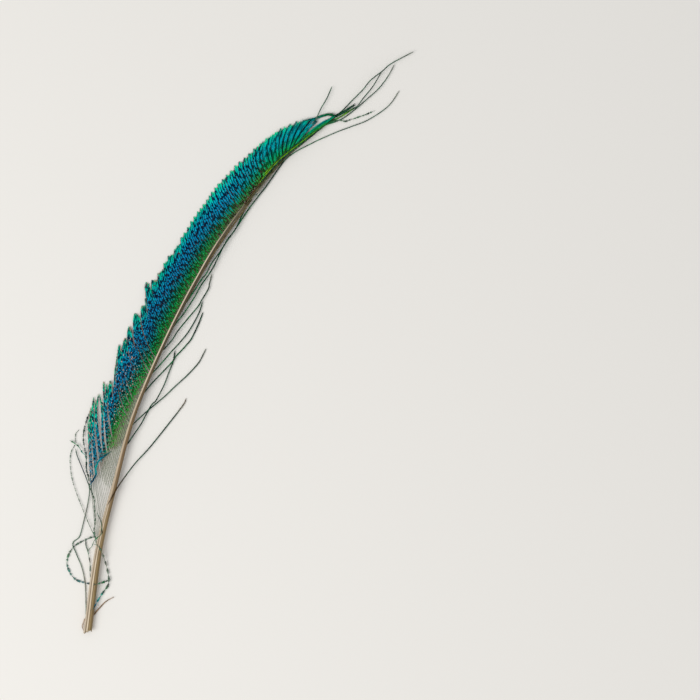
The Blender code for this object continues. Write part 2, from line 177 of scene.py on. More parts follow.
def add(tree, kind, sockets=None, **settings):
    """Adds a node, sets its settings, and fills each named input with a value or links it."""
    made = tree.nodes.new(kind)
    for name, value in settings.items():
        setattr(made, name, value)
    for name, value in (sockets or {}).items():
        if isinstance(value, bpy.types.NodeSocket):
            tree.links.new(value, made.inputs[name])
        else:
            made.inputs[name].default_value = value
    return made


def math_node(tree, operation, first, second=0.0, third=0.0):
    """The result of a Math node on two values or sockets, or on three."""
    sockets = {0: first, 1: second, 2: third}
    return add(tree, "ShaderNodeMath", sockets, operation=operation).outputs[0]


def product(tree, first, *others):
    """These values or sockets multiplied together."""
    for other in others:
        first = math_node(tree, "MULTIPLY", first, other)
    return first


print("mid grey as a linear value:", round(paint(128, 128, 128)[0], 3))

# %% [markdown]
# ## Helpers for marks, ramps and mixes
#
# Nearly every colour on the feather is found in one way: a number on the mesh says where a point
# lies, a ramp turns it into a colour, and a mask mixes that with another colour. These helpers are
# the words for that.

# %% Marks, ramps and mixes
def parts_of(tree, mark):
    """The three numbers of a mark on the piece's points."""
    made = add(tree, "ShaderNodeAttribute", attribute_name=mark)
    return add(tree, "ShaderNodeSeparateXYZ", {0: made.outputs["Vector"]}).outputs


def map_range(tree, value, start, end, first=0.0, last=1.0):
    """first where value is start, last where it is end, straight between, and no further beyond."""
    sockets = {"Value": value, "From Min": start, "From Max": end, "To Min": first, "To Max": last}
    return add(tree, "ShaderNodeMapRange", sockets).outputs["Result"]


def ramp(tree, value, stops):
    """A colour ramp read at value, through stops of (position, red, green, blue)."""
    made = add(tree, "ShaderNodeValToRGB", {"Fac": value})
    elements = made.color_ramp.elements
    while len(elements) < len(stops):
        elements.new(0.5)
    for element, (position, *colour) in zip(elements, stops):
        element.position = position
        element.color = paint(*colour)
    return made.outputs["Color"]


def mix(tree, share, first, second, blend_type="MIX"):
    """The colour between two colours, or their blend, at this share."""
    sockets = {"Factor": share, 6: first, 7: second}
    made = add(tree, "ShaderNodeMix", sockets, data_type="RGBA", blend_type=blend_type)
    return made.outputs[2]


def new_material(name, roughness, metallic, specular):
    """A material with a Principled BSDF whose constant values sit on the shader itself."""
    material = bpy.data.materials.new(name)
    material.use_nodes = True
    shader = material.node_tree.nodes["Principled BSDF"]
    shader.inputs["Roughness"].default_value = roughness
    shader.inputs["Metallic"].default_value = metallic
    shader.inputs["Specular IOR Level"].default_value = specular
    return material, material.node_tree, shader


print("helpers:", ", ".join(helper.__name__ for helper in (parts_of, map_range, ramp, mix, new_material)))

# %% [markdown]
# ## Two shared effects, as node groups
#
# Seen from a step away the vane isn't smooth: it is hatched with short bright dashes along every
# barb, with dark gaps between them. The bright dashes are painted glints and the dark gaps painted
# shade. The same broken look, a painted sheen, is on the loose strands. So the dashes are one node
# group, a noise that is stretched along the strand, and each material places it with its own
# length. The shaft's horn, the ribs and the down are mottled instead: a second group turns a noise
# into a shade between a given dark colour and white, and their colours are multiplied by it.

# %% The dashes and mottle groups
def new_group(name, inputs, outputs):
    """A node group with named sockets: its tree, what comes into it, and where its results go."""
    tree = bpy.data.node_groups.new(name, "ShaderNodeTree")
    for direction, sockets in (("INPUT", inputs), ("OUTPUT", outputs)):
        for socket, kind in sockets.items():
            tree.interface.new_socket(socket, in_out=direction, socket_type="NodeSocket" + kind)
    given = tree.nodes.new("NodeGroupInput").outputs
    results = tree.nodes.new("NodeGroupOutput").inputs
    return tree, given, results


def dashes_group():
    """Noise at (along / length, strand): each strand has its own row, so dashes don't join up."""
    inputs = dict.fromkeys(("Along", "Strand", "Length", "Low", "High"), "Float")
    tree, given, results = new_group("dashes", inputs, {"Mask": "Float"})
    along = math_node(tree, "DIVIDE", given["Along"], given["Length"])
    spot = add(tree, "ShaderNodeCombineXYZ", {"X": along, "Y": given["Strand"]}).outputs[0]
    noise = add(tree, "ShaderNodeTexNoise", {"Vector": spot, "Scale": 1.0, "Detail": 1.0})
    span = {"Value": noise.outputs["Fac"], "From Min": given["Low"], "From Max": given["High"]}
    mask = add(tree, "ShaderNodeMapRange", span, interpolation_type="SMOOTHSTEP")
    tree.links.new(mask.outputs["Result"], results["Mask"])
    return tree


def mottle_group():
    """Noise at a spot, and a shade: Dark where the noise is Low or less, white where High or more."""
    inputs = {"Spot": "Vector", "Dark": "Color"}
    inputs |= dict.fromkeys(("Scale", "Detail", "Low", "High"), "Float")
    tree, given, results = new_group("mottle", inputs, {"Noise": "Float", "Shade": "Color"})
    sockets = {"Vector": given["Spot"], "Scale": given["Scale"], "Detail": given["Detail"]}
    noise = add(tree, "ShaderNodeTexNoise", sockets).outputs["Fac"]
    share = map_range(tree, noise, given["Low"], given["High"])
    shade = mix(tree, share, given["Dark"], paint(255, 255, 255))
    tree.links.new(noise, results["Noise"])
    tree.links.new(shade, results["Shade"])
    return tree


DASHES = dashes_group()
MOTTLE = mottle_group()


def dashes(tree, along, strand, length, low, high):
    """The mask of the dashes group, placed in a material with these values."""
    sockets = {"Along": along, "Strand": strand, "Length": length, "Low": low, "High": high}
    return add(tree, "ShaderNodeGroup", sockets, node_tree=DASHES).outputs["Mask"]


def mottled(tree, colour, dark, spot, scale, detail, low, high):
    """A colour multiplied by the mottle group's shade, and the group's noise."""
    sockets = {"Spot": spot, "Scale": scale, "Detail": detail, "Low": low, "High": high, "Dark": dark}
    made = add(tree, "ShaderNodeGroup", sockets, node_tree=MOTTLE).outputs
    return mix(tree, 1.0, colour, made["Shade"], "MULTIPLY"), made["Noise"]


print("node groups:", DASHES.name, MOTTLE.name)

# %% [markdown]
# ## The shaft
#
# The quill and the rachis are one piece of horn, pale on the left and tan on the right, which is
# partly painted light and shade: the left side is painted as lit and the right as shaded. The quill
# has a thin bright ridge between two grooves, and higher up a single dark groove runs between a
# cream line and a tan one; the grooves' dark is partly painted shade and the ridge's bright partly
# a painted highlight. A bevelled curve would give a round rod, so the shaft is a grid of its own:
# rings of points along the curve, each ring a flattened oval with the ridge and the grooves added
# to its upper side.

# %% The shaft's line and sizes
SHAFT_ROUTE = [
    (0, 0), (5.5, 40), (13.5, 72.5), (24, 110), (42.5, 152.5),
    (61.8, 188), (83.8, 218.8), (95.5, 233.3), (106, 242.9), (125.5, 258.3),
]
SHAFT_WIDTHS = [(0, 4.1), (25, 4.0), (56, 3.2), (80, 2.5), (115, 2.1), (205, 1.6), (260, 1.0), (296, 0.5)]
SHAFT_HEIGHT_RATIO = 0.75
FLAT_END = 9.0  # the shaft's underside leaves the page here,
ARCH_MIDDLE = 150.0  # is highest here,
ARCH_HEIGHT = 2.8  # and is this far above the page there

SHAFT_LINE = smooth_curve(SHAFT_ROUTE, steps=80)
SHAFT_ALONG = distances(SHAFT_LINE)
SHAFT_LENGTH = SHAFT_ALONG[-1]


def shaft_point(s):
    """The shaft's centre line at distance s from the cut end."""
    return at_distance(SHAFT_LINE, SHAFT_ALONG, s)


def shaft_heading(s, reach=0.5):
    """The shaft's direction at s, as an angle from the page's +X."""
    ahead = shaft_point(np.minimum(s + reach, SHAFT_LENGTH))
    behind = shaft_point(np.maximum(s - reach, 0))
    step = ahead - behind
    return np.arctan2(step[..., 1], step[..., 0])


def shaft_underside(s):
    """A low arch that rests on the page at both ends: a parabola of s, cut off at 0."""
    half = ARCH_MIDDLE - FLAT_END
    return ARCH_HEIGHT * np.maximum(0, 1 - ((s - ARCH_MIDDLE) / half) ** 2)


def shaft_height(s):
    """The shaft's height, a fixed share of its width."""
    return SHAFT_HEIGHT_RATIO * table(SHAFT_WIDTHS, s)


print("shaft length along its curve, mm:", round(float(SHAFT_LENGTH), 1))

# %% [markdown]
# ## Closed tubes in one go
#
# The shaft, the barbs' ribs and the loose strands are all tubes, with rings of points along a
# curve. One function builds any number of them at once: quads between the rings, split into
# triangles, and a fan to one more point at each end, so that every tube is closed.

# %% Tubes
def tube_triangles(tubes, rings, sides):
    """Triangles of closed tubes whose points run tube by tube, ring by ring, then two end points."""
    ring = (np.arange(rings - 1) * sides)[:, None]
    side = np.arange(sides)[None, :]
    following = (side + 1) % sides
    corners = (ring + side, ring + sides + side, ring + sides + following, ring + following)
    quads = np.stack(corners, axis=-1).reshape(-1, 4)
    first_end = rings * sides
    last_ring = first_end - sides
    side, following = side[0], following[0]
    near = np.stack([np.full(sides, first_end), side, following], axis=-1)
    far = np.stack([np.full(sides, first_end + 1), last_ring + following, last_ring + side], axis=-1)
    one = np.vstack([quads[:, [0, 1, 2]], quads[:, [0, 2, 3]], near, far])
    shift = np.arange(tubes)[:, None, None] * (rings * sides + 2)
    return (one[None] + shift).reshape(-1, 3)


def with_ends(rings):
    """Values at (tube, ring, side) as rows, with each tube's two end points after its rings."""
    first = rings[:, :1].mean(axis=2)
    last = rings[:, -1:].mean(axis=2)
    flat = rings.reshape(len(rings), -1, rings.shape[-1])
    return np.concatenate([flat, first, last], axis=1).reshape(-1, rings.shape[-1])


def round_sections(centre, radius, sides, flatness=1.0):
    """Rings round curves: centre + radius (cos a * right + flatness * sin a * up), square to each."""
    ahead = unit(np.gradient(centre, axis=1))
    right = unit(np.cross(ahead, [0, 0, 1]))
    up = np.cross(right, ahead)
    angle = np.linspace(0, 2 * np.pi, sides, endpoint=False)[None, None, :, None]
    reach = radius[..., None, None]
    ring = np.cos(angle) * right[:, :, None] + flatness * np.sin(angle) * up[:, :, None]
    return centre[:, :, None] + reach * ring


print("triangles of a tube with 30 rings of 4 points:", len(tube_triangles(1, 30, 4)))

# %% [markdown]
# ## The shaft's surface
#
# Cut across, the shaft is a squarish oval, flat below. On top the quill has its ridge between two
# grooves, and the rachis one dark groove, so the oval's height gets a few smooth humps and dips
# added, which fade into each other where the quill ends. The quill's cut end is ragged and hollow:
# its first rings are drawn back unevenly, and two more rings inside it make its wall.

# %% The shaft's surface
SHAFT_RINGS = 420
RING_POINTS = 40
SQUARENESS = 2.6  # the exponent of the shaft's oval: 2 is an ellipse, and more is squarer
WAIST = 0.42  # the share of its height at which the oval is widest
QUILL_FADE = (40.0, 105.0)  # where the quill gives way to the rachis
QUILL_HUMPS = [(0.10, -0.08, 0.10), (-0.13, -0.36, 0.13), (-0.13, 0.16, 0.12)]
RACHIS_HUMPS = [(-0.26, 0.02, 0.16)]
HOLLOW_DEPTHS = [1.6, 0.7]  # how far up the quill the two rings inside it lie
HOLLOW_SIZES = [0.5, 0.68]  # and their size, as a share of the quill's
RAGGED_DEPTH = 1.5  # the distance along the quill over which its ragged end evens out
# How far the shaft lies to the left of its line, where it twists.
SHAFT_SHIFT = [(188, 0), (207, 0.45), (222, 0.55), (236, 0.65), (248, 0.3), (256, 0)]


def humps(x, rows):
    """The sum, over rows of (height, middle, width), of height * exp(-((x - middle) / width)^2)."""
    return sum(height * np.exp(-(((x - middle) / width) ** 2)) for height, middle, width in rows)


def shaft_surface():
    """Rings round the shaft, as points, marks and UVs.

    At the angle a, x = sign(cos a) |cos a|^p and the rise is sign(sin a) |sin a|^p, where p is 2 /
    SQUARENESS, and the upper side's humps are added to the rise. The ragged end is drawn back
    by sines of the angle, times exp(-s / RAGGED_DEPTH).
    """
    s = np.concatenate([HOLLOW_DEPTHS, np.linspace(0, SHAFT_LENGTH, SHAFT_RINGS)])[:, None]
    shrink = np.concatenate([HOLLOW_SIZES, np.ones(SHAFT_RINGS)])[:, None]
    angle = np.linspace(0, 2 * np.pi, RING_POINTS, endpoint=False)[None, :]
    power = 2 / SQUARENESS
    x = np.sign(np.cos(angle)) * np.abs(np.cos(angle)) ** power
    rise = np.sign(np.sin(angle)) * np.abs(np.sin(angle)) ** power
    above = smoothstep(0.0, 0.6, rise)
    quill = 1 - smoothstep(*QUILL_FADE, s)
    relief = quill * humps(x, QUILL_HUMPS) + (1 - quill) * humps(x, RACHIS_HUMPS)
    up = WAIST + (np.where(rise > 0, 1 - WAIST, WAIST) * rise + above * relief) * shrink
    across = x * shrink * table(SHAFT_WIDTHS, s) / 2 - table(SHAFT_SHIFT, s)
    height = shaft_underside(s) + shaft_height(s) * up
    ragged = 0.9 * x - 0.5 * np.sin(3 * angle + 1) - 0.35 * np.sin(7 * angle)
    drawn_back = np.exp(-s / RAGGED_DEPTH) * ragged
    centre = shaft_point(s[:, 0])[:, None, :]
    heading = shaft_heading(s[:, 0])[:, None]
    px = centre[..., 0] + across * np.sin(heading) + drawn_back * np.cos(heading)
    py = centre[..., 1] - across * np.cos(heading) + drawn_back * np.sin(heading)
    points = np.stack([px, py, height + 0 * px], axis=-1)
    share = s / SHAFT_LENGTH + 0 * x
    place = np.stack([x * above + 0 * s, share, above + 0 * s], axis=-1)
    uv = np.stack([share, 0.02 + 0.96 * angle / (2 * np.pi) + 0 * s], axis=-1)
    return points[None], place[None], uv[None]


shaft_points, shaft_place, shaft_uv = shaft_surface()
print("shaft: rings and points in each:", shaft_points.shape[1:3])

# %% [markdown]
# ## Horn
#
# The shaft's horn is coloured by where a point lies across it, from the attribute place: the quill
# cream, bright ridge, tan; the rachis a cream line, a dark groove and a tan line, greener and darker
# towards the tip. The stripes are partly the horn's own colour and partly painted light and shade:
# a lighter lit left side, a darker shaded right side with a dark right edge, painted shade in the
# grooves and a painted highlight on the ridge. Each stretch of the shaft has a ramp of its own,
# read from the shaft's left to its right. Fine fibres run along it: the mottle group's noise,
# stretched along the shaft, which also feeds a small bump.

# %% The horn material and the shaft
# Each ramp runs from the shaft's left edge to its right; its lighter left, darker right, dark edges, dark
# grooves and bright ridge are painted light and shade over the horn's own cream and tan.
HORN_COLOURS_AND_SHADE = {
    "quill": [
        (0.00, 146, 130, 112), (0.05, 214, 198, 176), (0.20, 204, 188, 162), (0.28, 134, 110, 78),
        (0.36, 196, 176, 144), (0.43, 238, 222, 194), (0.51, 228, 208, 174), (0.57, 112, 88, 50),
        (0.64, 166, 140, 90), (0.88, 150, 126, 78), (1.00, 100, 80, 48),
    ],
    "rachis": [
        (0.00, 120, 104, 88), (0.07, 212, 192, 164), (0.40, 216, 196, 166), (0.50, 136, 104, 62),
        (0.62, 118, 90, 50), (0.82, 146, 118, 72), (1.00, 84, 62, 36),
    ],
    "upper": [
        (0.00, 140, 122, 98), (0.06, 242, 224, 200), (0.38, 238, 218, 190), (0.46, 56, 48, 22),
        (0.66, 54, 46, 22), (0.74, 98, 84, 52), (1.00, 88, 76, 48),
    ],
    "far_end": [
        (0.00, 90, 58, 38), (0.14, 64, 42, 30), (0.28, 108, 108, 66), (0.50, 80, 90, 56),
        (0.75, 112, 102, 76), (1.00, 146, 122, 104),
    ],
}
# The shares of the shaft's length over which a stretch takes over from the one below it.
HORN_STARTS = {"rachis": (0.17, 0.26), "upper": (0.34, 0.50), "far_end": (0.67, 0.80)}
FIBRES = (40, 90, 1)  # how often the noise repeats along the shaft and round it


def horn_material():
    """Ramps across the shaft's four stretches, with painted light and shade, mixed along it; fine fibres."""
    material, tree, shader = new_material("shaft_horn", 0.38, 0.0, 0.5)
    x, share, _ = parts_of(tree, "place")
    across = math_node(tree, "MULTIPLY_ADD", x, 0.5, 0.5)
    horn = ramp(tree, across, HORN_COLOURS_AND_SHADE["quill"])
    for stretch, (start, end) in HORN_STARTS.items():
        begun = map_range(tree, share, start, end)
        horn = mix(tree, begun, horn, ramp(tree, across, HORN_COLOURS_AND_SHADE[stretch]))
    uv = add(tree, "ShaderNodeUVMap", uv_map="OFBake").outputs[0]
    spot = add(tree, "ShaderNodeMapping", {"Vector": uv, "Scale": FIBRES}).outputs[0]
    coloured, noise = mottled(tree, horn, paint(188, 182, 176), spot, 1.0, 4.0, 0.3, 0.7)
    tree.links.new(coloured, shader.inputs["Base Color"])
    bumps = {"Height": noise, "Strength": 0.3, "Distance": 0.0001}
    tree.links.new(add(tree, "ShaderNodeBump", bumps).outputs[0], shader.inputs["Normal"])
    return material


mesh_piece(
    "shaft", with_ends(shaft_points), tube_triangles(1, SHAFT_RINGS + 2, RING_POINTS),
    with_ends(shaft_uv), {"place": with_ends(shaft_place)}, horn_material(), "shaft_horn",
)

# %% [markdown]
# ## The barbs of the vane
#
# Each barb leaves the shaft at an angle, bends towards the feather's tip and ends at the vane's
# edge. The table holds the few barbs that were placed along the photograph's vane, and every
# other barb is read between two of them. A barb is a quadratic Bezier curve in plan, because
# that has just what can be measured: a root, a direction there, and a tip.

# %% The vane's guide barbs
# (distance along the shaft of the root, tip x, tip y, degrees off the shaft)
VANE_ROWS = np.array([
    (38, -0.6, 101.0, 16), (43, 0.5, 108.5, 20), (56, 2.2, 117.2, 27), (66, 4.5, 116.5, 30),
    (79, 7.9, 125.3, 33), (88, 10.2, 123.6, 36), (97, 12.8, 129.3, 40), (107, 14.8, 142.5, 42),
    (115, 17.7, 145.4, 46), (123, 20.0, 150.0, 51), (131.5, 22.3, 157.7, 55),
    (140, 26.3, 161.5, 59), (147, 29.2, 164.8, 61), (152, 29.2, 173.8, 63), (158, 32.0, 174.1, 65),
    (164, 34.9, 177.5, 67), (169, 37.8, 182.2, 68), (174, 40.0, 186.5, 69), (180, 42.9, 189.3, 70),
    (187, 46.4, 195.4, 72), (192, 49.2, 199.4, 72), (200, 53.6, 206.8, 73), (222, 65.0, 222.5, 76),
    (235, 74.6, 232.5, 76), (243, 81.3, 238.4, 74), (248, 87.3, 244.2, 71),
    (252.5, 91.6, 247.4, 67), (255.5, 95.4, 250.0, 62), (258, 98.2, 251.4, 56),
    (260.5, 102.8, 253.2, 45), (262.5, 106.4, 254.6, 34), (264.6, 112.8, 255.7, 22),
    (265.4, 118.5, 254.6, 12), (270, 123.2, 257.2, 5), (277, 124.5, 257.9, 3),
])
# How far along its reach a barb's bend lies, by the distance of its root along the shaft.
LOCK_BENDS = [(38, 0.55), (145, 0.55), (165, 0.66), (200, 0.70), (245, 0.68), (256, 0.60), (300, 0.58)]
VANE_SIDE = 0.45  # the share of the shaft's height at which a barb leaves it
VANE_FALL = 1.4  # the power of (1 - t) by which it comes down from there
CAMBER_SHARE = 0.06  # a barb's arch, as a share of its reach
CAMBER_MOST = 1.1  # and its most, in millimetres
VANE_TOP = 0.34  # a rib's middle lies this far above the vane's own curve
# How much higher the last barbs lie, in millimetres.
EDGE_LIFTS = [(0, 0.0), (240, 0.0), (268, 0.5), (300, 0.5)]


def vane_point(place, t):
    """The point at share t of the barb at this place in the table, in rows and fractions of rows.

    In plan a quadratic Bezier: (1-t)^2 root + 2t(1-t) bend + t^2 tip, where the bend lies along
    the root's direction. In height it comes down from the shaft's side, with some camber.
    """
    rows = np.arange(len(VANE_ROWS))
    s, tip_x, tip_y, degrees = (np.interp(place, rows, VANE_ROWS[:, c]) for c in range(4))
    heading = shaft_heading(s)
    left = np.stack([-np.sin(heading), np.cos(heading)], axis=-1)
    root = shaft_point(s)[..., :2] + left * table(SHAFT_SHIFT, s)[..., None]
    reach = np.hypot(tip_x - root[..., 0], tip_y - root[..., 1])
    turn = heading + np.radians(degrees)
    bend = reach * table(LOCK_BENDS, s)
    bend_x = root[..., 0] + np.cos(turn) * bend
    bend_y = root[..., 1] + np.sin(turn) * bend
    x = (1 - t) ** 2 * root[..., 0] + 2 * t * (1 - t) * bend_x + t**2 * tip_x
    y = (1 - t) ** 2 * root[..., 1] + 2 * t * (1 - t) * bend_y + t**2 * tip_y
    side = shaft_underside(s) + VANE_SIDE * shaft_height(s)
    camber = np.minimum(CAMBER_SHARE * reach, CAMBER_MOST)
    z = side * (1 - np.minimum(t, 1)) ** VANE_FALL + camber * 4 * t * (1 - t) + table(EDGE_LIFTS, s)
    return np.stack([x, y, z], axis=-1)


print("guide barbs:", len(VANE_ROWS))

# %% [markdown]
# ## How barbs gather
#
# Barbs cling together, and differently up the feather. The lowest stand in loose bundles of a few.
# Then come locks, the tongues between two guide barbs, and higher up narrow strips, which give the
# vane its ribbed look. At the vane's edge the tips gather once more, into teeth with a notch after
# each. Hair tools have clumping for this, but its clumps can't be told where to lie, so here plain
# tables say how strong each effect is. They all go by the distance of a barb's root along the
# shaft, in millimetres.

# %% The tables of the vane
# Between the roots of two barbs, in millimetres.
BARB_PITCH = [
    (38, 2.2), (100, 1.9), (131, 1.6), (152, 1.45), (200, 1.45), (240, 1.4), (248, 1.2), (252, 0.8),
    (261.5, 0.8), (262.2, 0.5), (265, 0.5), (265.8, 1.7), (300, 1.7),
]
# The stretch of shaft that one strip takes, in millimetres.
STRIP_PITCH = [
    (38, 1.0), (243, 1.0), (250, 2.3), (256, 1.9), (262, 1.5), (265, 1.5), (265.5, 1.0), (300, 1.0),
]
# The share of a barb, from its root, that carries no barbules.
BARE_SHARE = [(38, 0.48), (56, 0.44), (66, 0.38), (79, 0.28), (90, 0.10), (101, 0.0), (300, 0.0)]
# Where a barb stands in its change of colour as it leaves the film, 0 to 1.
GREEN_FROM = [(38, 0.36), (70, 0.34), (80, 0.24), (90, 0.15), (300, 0.15)]
# The width of the grey film beside the shaft, by the distance along the shaft of the foot.
FILM_WIDTH = [
    (40, 11.5), (58, 10.0), (72, 9.0), (87, 7.6), (101, 6.0), (110, 3.6), (120, 2.8), (131, 0.8),
    (150, 0.4), (300, 0.2),
]
# How much of the change of colour a barb goes through: the highest end before it is over.
COLOUR_SPAN = [(38, 1.0), (262, 1.0), (264.7, 0.85), (265.3, 0.42), (270, 0.30), (277, 0.20)]
# How far a barb is drawn to the middle of its bundle, lock or strip, as a share of the way.
GROUP_PULL = [
    (38, 0.50), (79, 0.40), (91, 0.32), (93, 0.24), (122, 0.23), (140, 0.17), (142, 0.3),
    (248, 0.2), (252, 0.25), (260, 0.25), (262, 0.12), (300, 0.12),
]
# The share of a barb at which that begins.
GROUP_START = [(38, 0.28), (91, 0.20), (93, 0.30), (142, 0.36), (200, 0.40), (300, 0.30)]
# The length of a tooth at the vane's edge, in millimetres.
TOOTH_LENGTH = [
    (38, 6.0), (107, 5.0), (131, 4.5), (170, 3.5), (188, 3.5), (192, 6.0), (242, 6.0), (250, 3.0),
    (300, 2.0),
]
# How far a tip is drawn to the middle of its tooth.
TOOTH_PULL = [
    (38, 0.60), (66, 0.42), (90, 0.28), (146, 0.25), (152, 0.40), (158, 0.15), (188, 0.12),
    (192, 0.45), (242, 0.45), (248, 0.10), (254, 0.5), (300, 0.5),
]
# How far the last barb of a tooth falls short, by the distance of the tooth's first barb.
NOTCHES = [
    (38, 5), (43, 6), (56, 2), (66, 10), (79, 3), (88, 4), (97, 1), (107, 5.5), (115, 5.0),
    (123, 5.5), (131.5, 3.5), (140, 2), (147, 2.5), (152, 4.5), (158, 2.3), (164, 2.1), (169, 1.8),
    (174, 2.0), (180, 2.2), (187, 1.2), (192, 0.6), (243, 0.6), (300, 0.3),
]
# How far a group sways to either side, in millimetres.
GROUP_SWAY = [(38, 0.12), (56, 0.2), (72, 0.45), (107, 0.45), (142, 0.15), (300, 0.08)]
# How much higher than the shaft's side a root sits, in millimetres.
ROOT_RAISE = [(236, 0.0), (252, 0.6), (300, 0.45)]
print("tooth lengths, mm:", [length for _, length in TOOTH_LENGTH])

# %% [markdown]
# ## Every barb's root and groups
#
# A barb is only a row of numbers until it is drawn: where its root is, and which bundle, lock,
# strip, pair and tooth it belongs to. Each of those is kept as the place in the guide table of its
# middle, so that drawing a barb together with its group is a step towards a number. One generator
# with a fixed seed gives all the chance, so the feather comes out the same each time.

# %% Every barb's root and groups
SEED = 11
ROOT_SPREAD = 0.18  # how far chance moves a root, as a share of the pitch
LOCKS_FROM = 92.0  # from here up, barbs gather in locks and not in bundles
STRIPS_FROM = 142.0  # and from here up in strips
FINE_TEETH_FROM = 190.0  # from here up, a tooth is a pair of barbs and not a lock
STRIP_TEETH_FROM = 244.0  # and from here up a strip
BUNDLE_SIZES = (2, 5)

chance = np.random.default_rng(SEED)


def passed(pitches, fine):
    """How many steps have been passed at each of these distances: the integral of 1 / pitch."""
    return np.cumsum(np.gradient(fine) / table(pitches, fine))


def barb_stations():
    """Root distances whose spacing follows BARB_PITCH, each moved a little by chance."""
    fine = np.linspace(VANE_ROWS[0, 0] + 0.5, VANE_ROWS[-1, 0] - 1, 4000)
    steps = passed(BARB_PITCH, fine)
    wanted = np.arange(steps[0] + 0.5, steps[-1], 1.0)
    wanted = wanted + chance.uniform(-ROOT_SPREAD, ROOT_SPREAD, len(wanted))
    return np.interp(wanted, steps, fine)


def strip_numbers():
    """The number of the strip each barb belongs to: the strips' widths follow STRIP_PITCH."""
    fine = np.linspace(STATION[0] - 1, STATION[-1] + 1, 4000)
    return np.interp(STATION, fine, passed(STRIP_PITCH, fine)).astype(int)


def bundle_numbers():
    """Numbers that put the barbs, in order, into bundles of random sizes."""
    fewest, most = BUNDLE_SIZES
    sizes = chance.integers(fewest, most + 1, BARBS)
    return np.repeat(np.arange(BARBS), sizes)[:BARBS]


def middles(numbers):
    """For each barb, the mean place of the barbs that share its number."""
    which = np.unique(numbers, return_inverse=True)[1]
    return (np.bincount(which, PLACE) / np.bincount(which))[which]


STATION = barb_stations()
BARBS = len(STATION)
PLACE = np.interp(STATION, VANE_ROWS[:, 0], np.arange(len(VANE_ROWS)))
ROW = np.floor(PLACE).astype(int)
LOCK = middles(ROW)
STRIP = middles(strip_numbers())
BUNDLE = middles(bundle_numbers())
PAIR = middles(np.arange(BARBS) // 2)
GROUP = np.where(STATION < LOCKS_FROM, BUNDLE, np.where(STATION < STRIPS_FROM, LOCK, STRIP))
GROUP_NUMBER = np.unique(GROUP, return_inverse=True)[1]
GROUP_SIZE = np.bincount(GROUP_NUMBER)[GROUP_NUMBER]
FINE_TOOTH = np.where(STATION < STRIP_TEETH_FROM, PAIR, STRIP)
TOOTH = np.where(STATION < FINE_TEETH_FROM, LOCK, FINE_TOOTH)
IN_TOOTH = np.where(STATION < FINE_TEETH_FROM, PLACE - ROW, np.arange(BARBS) % 2)
print("barbs:", BARBS, "in", GROUP_NUMBER.max() + 1, "groups")

# %% [markdown]
# ## What differs from barb to barb
#
# No two barbs of a real feather are alike. Tips end a little short or long, the last barb of a
# tooth ends early and leaves a notch, and here and there one stands out past the edge. Whole groups
# sway together, and some locks hold together better than others.

# %% What differs from barb to barb
TIP_SPREAD = (-0.005, 0.003)  # how far chance moves a tip, as a share of the barb
NOTCH_POWER = 1.5
STRAY_UNTIL = 240.0  # from STRIPS_FROM up to here, some barbs stand out past the edge
STRAY_CHANCE = 0.12
STRAY_REACH = 0.35
MOST_LIFT = 0.25  # how much higher than another a barb may lie
MOOD_PULL = 1.8  # how much a lock's mood changes how far its barbs are drawn together
MOOD_START = 0.25  # and how much sooner they are


def for_each_group(draw):
    """One random value for every group, given to each of its barbs."""
    return draw(size=GROUP_NUMBER.max() + 1)[GROUP_NUMBER]


FULL_REACH = np.linalg.norm(vane_point(PLACE, 1.0) - vane_point(PLACE, 0.0), axis=-1)
TOOTH_START = 1 - np.minimum(table(TOOTH_LENGTH, STATION) / FULL_REACH, 0.5)
SHORT = table(NOTCHES, VANE_ROWS[ROW, 0]) * IN_TOOTH**NOTCH_POWER
MAY_STRAY = (STATION > STRIPS_FROM) & (STATION < STRAY_UNTIL)
STRAY = STRAY_REACH * ((chance.random(BARBS) < STRAY_CHANCE) & MAY_STRAY)
TIP_SHARE = 1.0 + chance.uniform(*TIP_SPREAD, BARBS) - SHORT / FULL_REACH + STRAY / FULL_REACH
LIFT = chance.uniform(0.0, MOST_LIFT, BARBS)

MOOD = for_each_group(chance.random) - 0.5
IN_LOCKS = (STATION > LOCKS_FROM) & (STATION < STRIPS_FROM)
PULL = table(GROUP_PULL, STATION) * (1 + MOOD_PULL * MOOD * IN_LOCKS)
PULL_START = table(GROUP_START, STATION) + MOOD_START * (0.5 - MOOD) * IN_LOCKS
SWAY = for_each_group(chance.standard_normal) * table(GROUP_SWAY, STATION)
PHASE = 2 * np.pi * for_each_group(chance.random)
print("barbs that stand out past the edge:", int((STRAY > 0).sum()))

# %% [markdown]
# ## One barb's curve
#
# Ribs, barbules and down all ask one function for their points, with a barb's number and t, the
# share of its length from root to tip, so they can't drift apart. It takes the vane's own curve at
# a place in the guide table, and all that gathers barbs is a shift of that place.

# %% One barb's curve
ROOT_SINK = 0.35  # how much lower a barb starts, inside the shaft
SUNK_SHARE = 0.04  # and the share of it by whose end it is out
GATHERING = 0.35  # the share of a barb over which it is drawn to its group
SWAY_WAVES = 1.1  # how many waves of its sway a barb goes through


